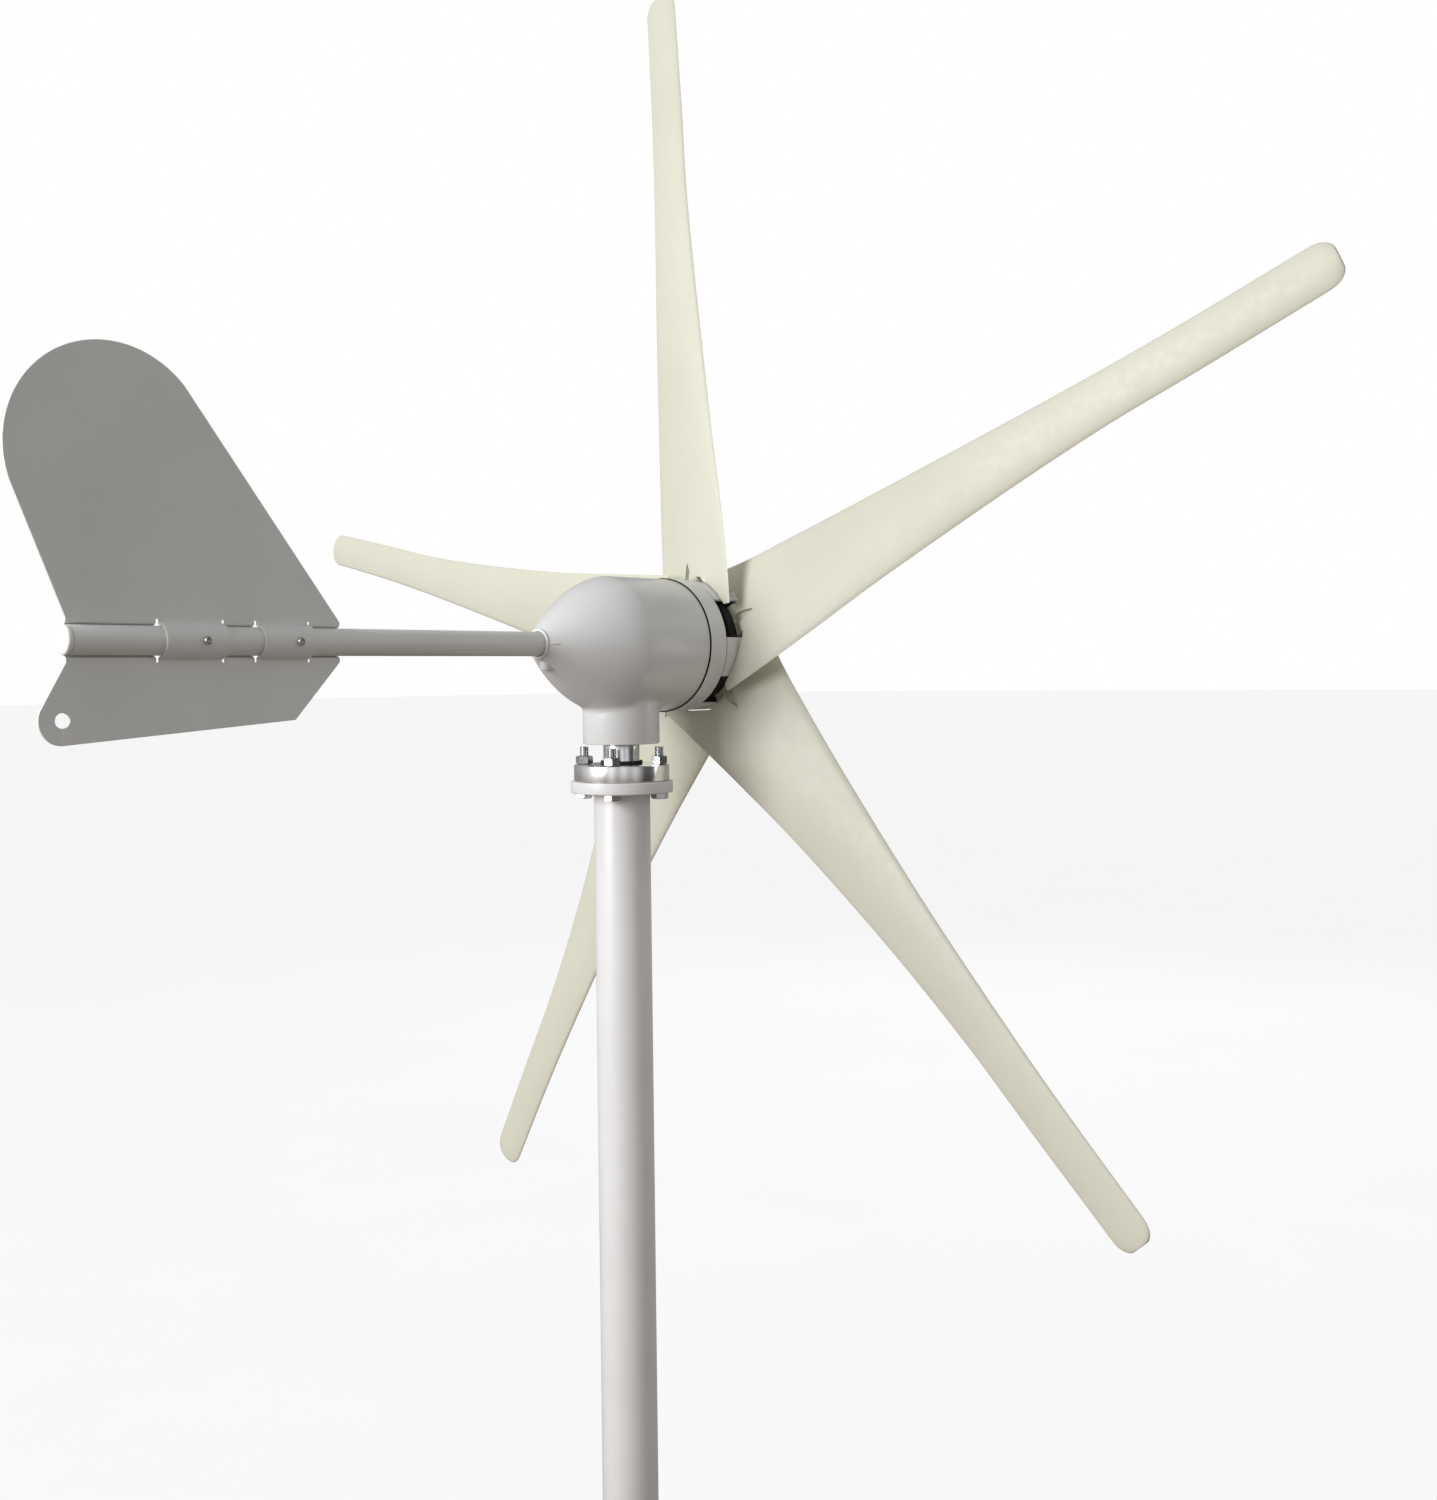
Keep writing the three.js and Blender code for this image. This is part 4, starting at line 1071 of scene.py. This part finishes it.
CAD_LOOKS = {
    "bearing": ("yaw_bearing", "front_bearing", "rear_bearing"),
    "steel": ("stator_core", "magnet_rotor", "rotor_shaft", "yaw_lock_nut"),
    "copper": ("stator_winding", "slip_ring"),
    "insulator": ("brush_block",),
    "rubber": ("shaft_seal",),
    "zinc": ("cover_screw", "blade_bolt", "blade_clamp_plate", "shaft_nut"),
}


def dress_cad_nodes(looks):
    for look, prefixes in CAD_LOOKS.items():
        for name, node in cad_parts.items():
            if name.startswith(prefixes):
                node.data.materials.clear()
                node.data.materials.append(looks[look])


# ------------------------------------------------------------------ stage


def add_light(name, place, aim, size, power, color=(1, 1, 1)):
    data = bpy.data.lights.new(name, "AREA")
    data.shape, data.size, data.size_y = "RECTANGLE", size[0], size[1]
    data.energy, data.color = power, color
    light = bpy.data.objects.new(name, data)
    light.location = place
    light.rotation_euler = (Vector(aim) - Vector(place)).to_track_quat("-Z", "Y").to_euler()
    bpy.context.scene.collection.objects.link(light)
    return light


def make_world():
    """White all round for the camera; the light itself falls off downwards, with panels round the room."""
    world = bpy.data.worlds.new("studio")
    bpy.context.scene.world = world
    world.use_nodes = True
    nodes, links = world.node_tree.nodes, world.node_tree.links
    seen = nodes["Background"]
    seen.inputs["Color"].default_value = (1, 1, 1, 1)
    seen.inputs["Strength"].default_value = 1.0
    coords = nodes.new("ShaderNodeTexCoord").outputs["Generated"]

    split = nodes.new("ShaderNodeSeparateXYZ")
    links.new(coords, split.inputs["Vector"])
    height = nodes.new("ShaderNodeMapRange")
    height.inputs["From Min"].default_value = -1.0
    links.new(split.outputs["Z"], height.inputs["Value"])
    sky = add_ramp(nodes, links, height.outputs["Result"], SKY)

    turn = nodes.new("ShaderNodeTexGradient")
    turn.gradient_type = "RADIAL"
    links.new(coords, turn.inputs["Vector"])
    half_turn = nodes.new("ShaderNodeMath")
    half_turn.operation = "ADD"
    half_turn.inputs[1].default_value = 0.5
    links.new(turn.outputs["Fac"], half_turn.inputs[0])
    shifted = nodes.new("ShaderNodeMath")
    shifted.operation = "FRACT"
    links.new(half_turn.outputs["Value"], shifted.inputs[0])
    rays = nodes.new("ShaderNodeLightPath")
    room = nodes.new("ShaderNodeMix")
    room.data_type = "RGBA"
    links.new(rays.outputs["Is Glossy Ray"], room.inputs["Factor"])
    links.new(add_ramp(nodes, links, shifted.outputs["Value"], WALLS), room.inputs[6])
    links.new(add_ramp(nodes, links, shifted.outputs["Value"], PANELS), room.inputs[7])

    lit = nodes.new("ShaderNodeBackground")
    blend = nodes.new("ShaderNodeMix")
    blend.data_type, blend.blend_type = "RGBA", "MULTIPLY"
    blend.inputs["Factor"].default_value = 1.0
    links.new(sky, blend.inputs[6])
    links.new(room.outputs[2], blend.inputs[7])
    links.new(blend.outputs[2], lit.inputs["Color"])
    choice = nodes.new("ShaderNodeMixShader")
    links.new(rays.outputs["Is Camera Ray"], choice.inputs["Fac"])
    links.new(lit.outputs["Background"], choice.inputs[1])
    links.new(seen.outputs["Background"], choice.inputs[2])
    links.new(choice.outputs["Shader"], nodes["World Output"].inputs["Surface"])


def make_floor():
    """A pale floor, seen by the camera but throwing no light back up at the turbine."""
    pale = Look("pale_floor", (0.06, 0.06, 0.06), 0.8, Emission_Color=(1, 1, 1, 1), Emission_Strength=0.86)
    pale.vary_color(pale.noise(3), [(0.3, 0.055), (0.7, 0.065)])
    pale.material.cycles.emission_sampling = "NONE"
    reach = 60.0
    mesh = bpy.data.meshes.new("floor")
    corners = [(-reach, -reach, 0), (reach, -reach, 0), (reach, reach, 0), (-reach, reach, 0)]
    mesh.from_pydata(corners, [], [(0, 1, 2, 3)])
    mesh.materials.append(pale.material)
    plane = bpy.data.objects.new("floor", mesh)
    bpy.context.scene.collection.objects.link(plane)
    plane.visible_diffuse = False
    plane.visible_glossy = False


def make_stage():
    bpy.context.scene.view_settings.view_transform = "Standard"
    make_world()
    make_floor()
    hub = (0.0, 0.0, AXIS_Z * MM)
    for name, azimuth, elevation, distance, size, power in LIGHTS:
        turn, lift = math.radians(azimuth), math.radians(elevation)
        toward = Vector((math.cos(turn) * math.cos(lift), math.sin(turn) * math.cos(lift), math.sin(lift)))
        light = add_light(name, Vector(hub) + toward * distance, hub, size, power)
        light.visible_glossy = name != "front"


def make_camera():
    """The photograph's viewpoint: behind and to the left, close, just below the rotor axis."""
    data = bpy.data.cameras.new("camera")
    data.sensor_fit = "AUTO"
    data.sensor_width = 36
    data.lens = 38.08
    data.shift_x, data.shift_y = 0.0396, -0.0372
    camera = bpy.data.objects.new("camera", data)
    bpy.context.scene.collection.objects.link(camera)
    camera.location = (-0.9667, -0.9651, AXIS_Z * MM - 0.0279)
    yaw, pitch, roll = math.radians(43.57), math.radians(-0.631), math.radians(-0.689)
    ahead = Vector((math.cos(yaw) * math.cos(pitch), math.sin(yaw) * math.cos(pitch), math.sin(pitch)))
    level = Vector((math.sin(yaw), -math.cos(yaw), 0))
    up = level.cross(ahead)
    right = math.cos(roll) * level + math.sin(roll) * up
    above = -math.sin(roll) * level + math.cos(roll) * up
    rotation = Matrix((right, above, -ahead)).transposed()
    camera.rotation_euler = rotation.to_euler()
    bpy.context.scene.camera = camera
    data.clip_start, data.clip_end = 0.01, 200


make_camera()
make_stage()
LOOKS = make_looks()
make_mast(LOOKS)
make_yaw_shaft(LOOKS)
make_flange_bolts(LOOKS)
make_housing(LOOKS)
make_cover(LOOKS)
make_boom(LOOKS)
make_vane(LOOKS)
make_blades(LOOKS)
make_hub(LOOKS)
make_spinner(LOOKS)
dress_cad_nodes(LOOKS)
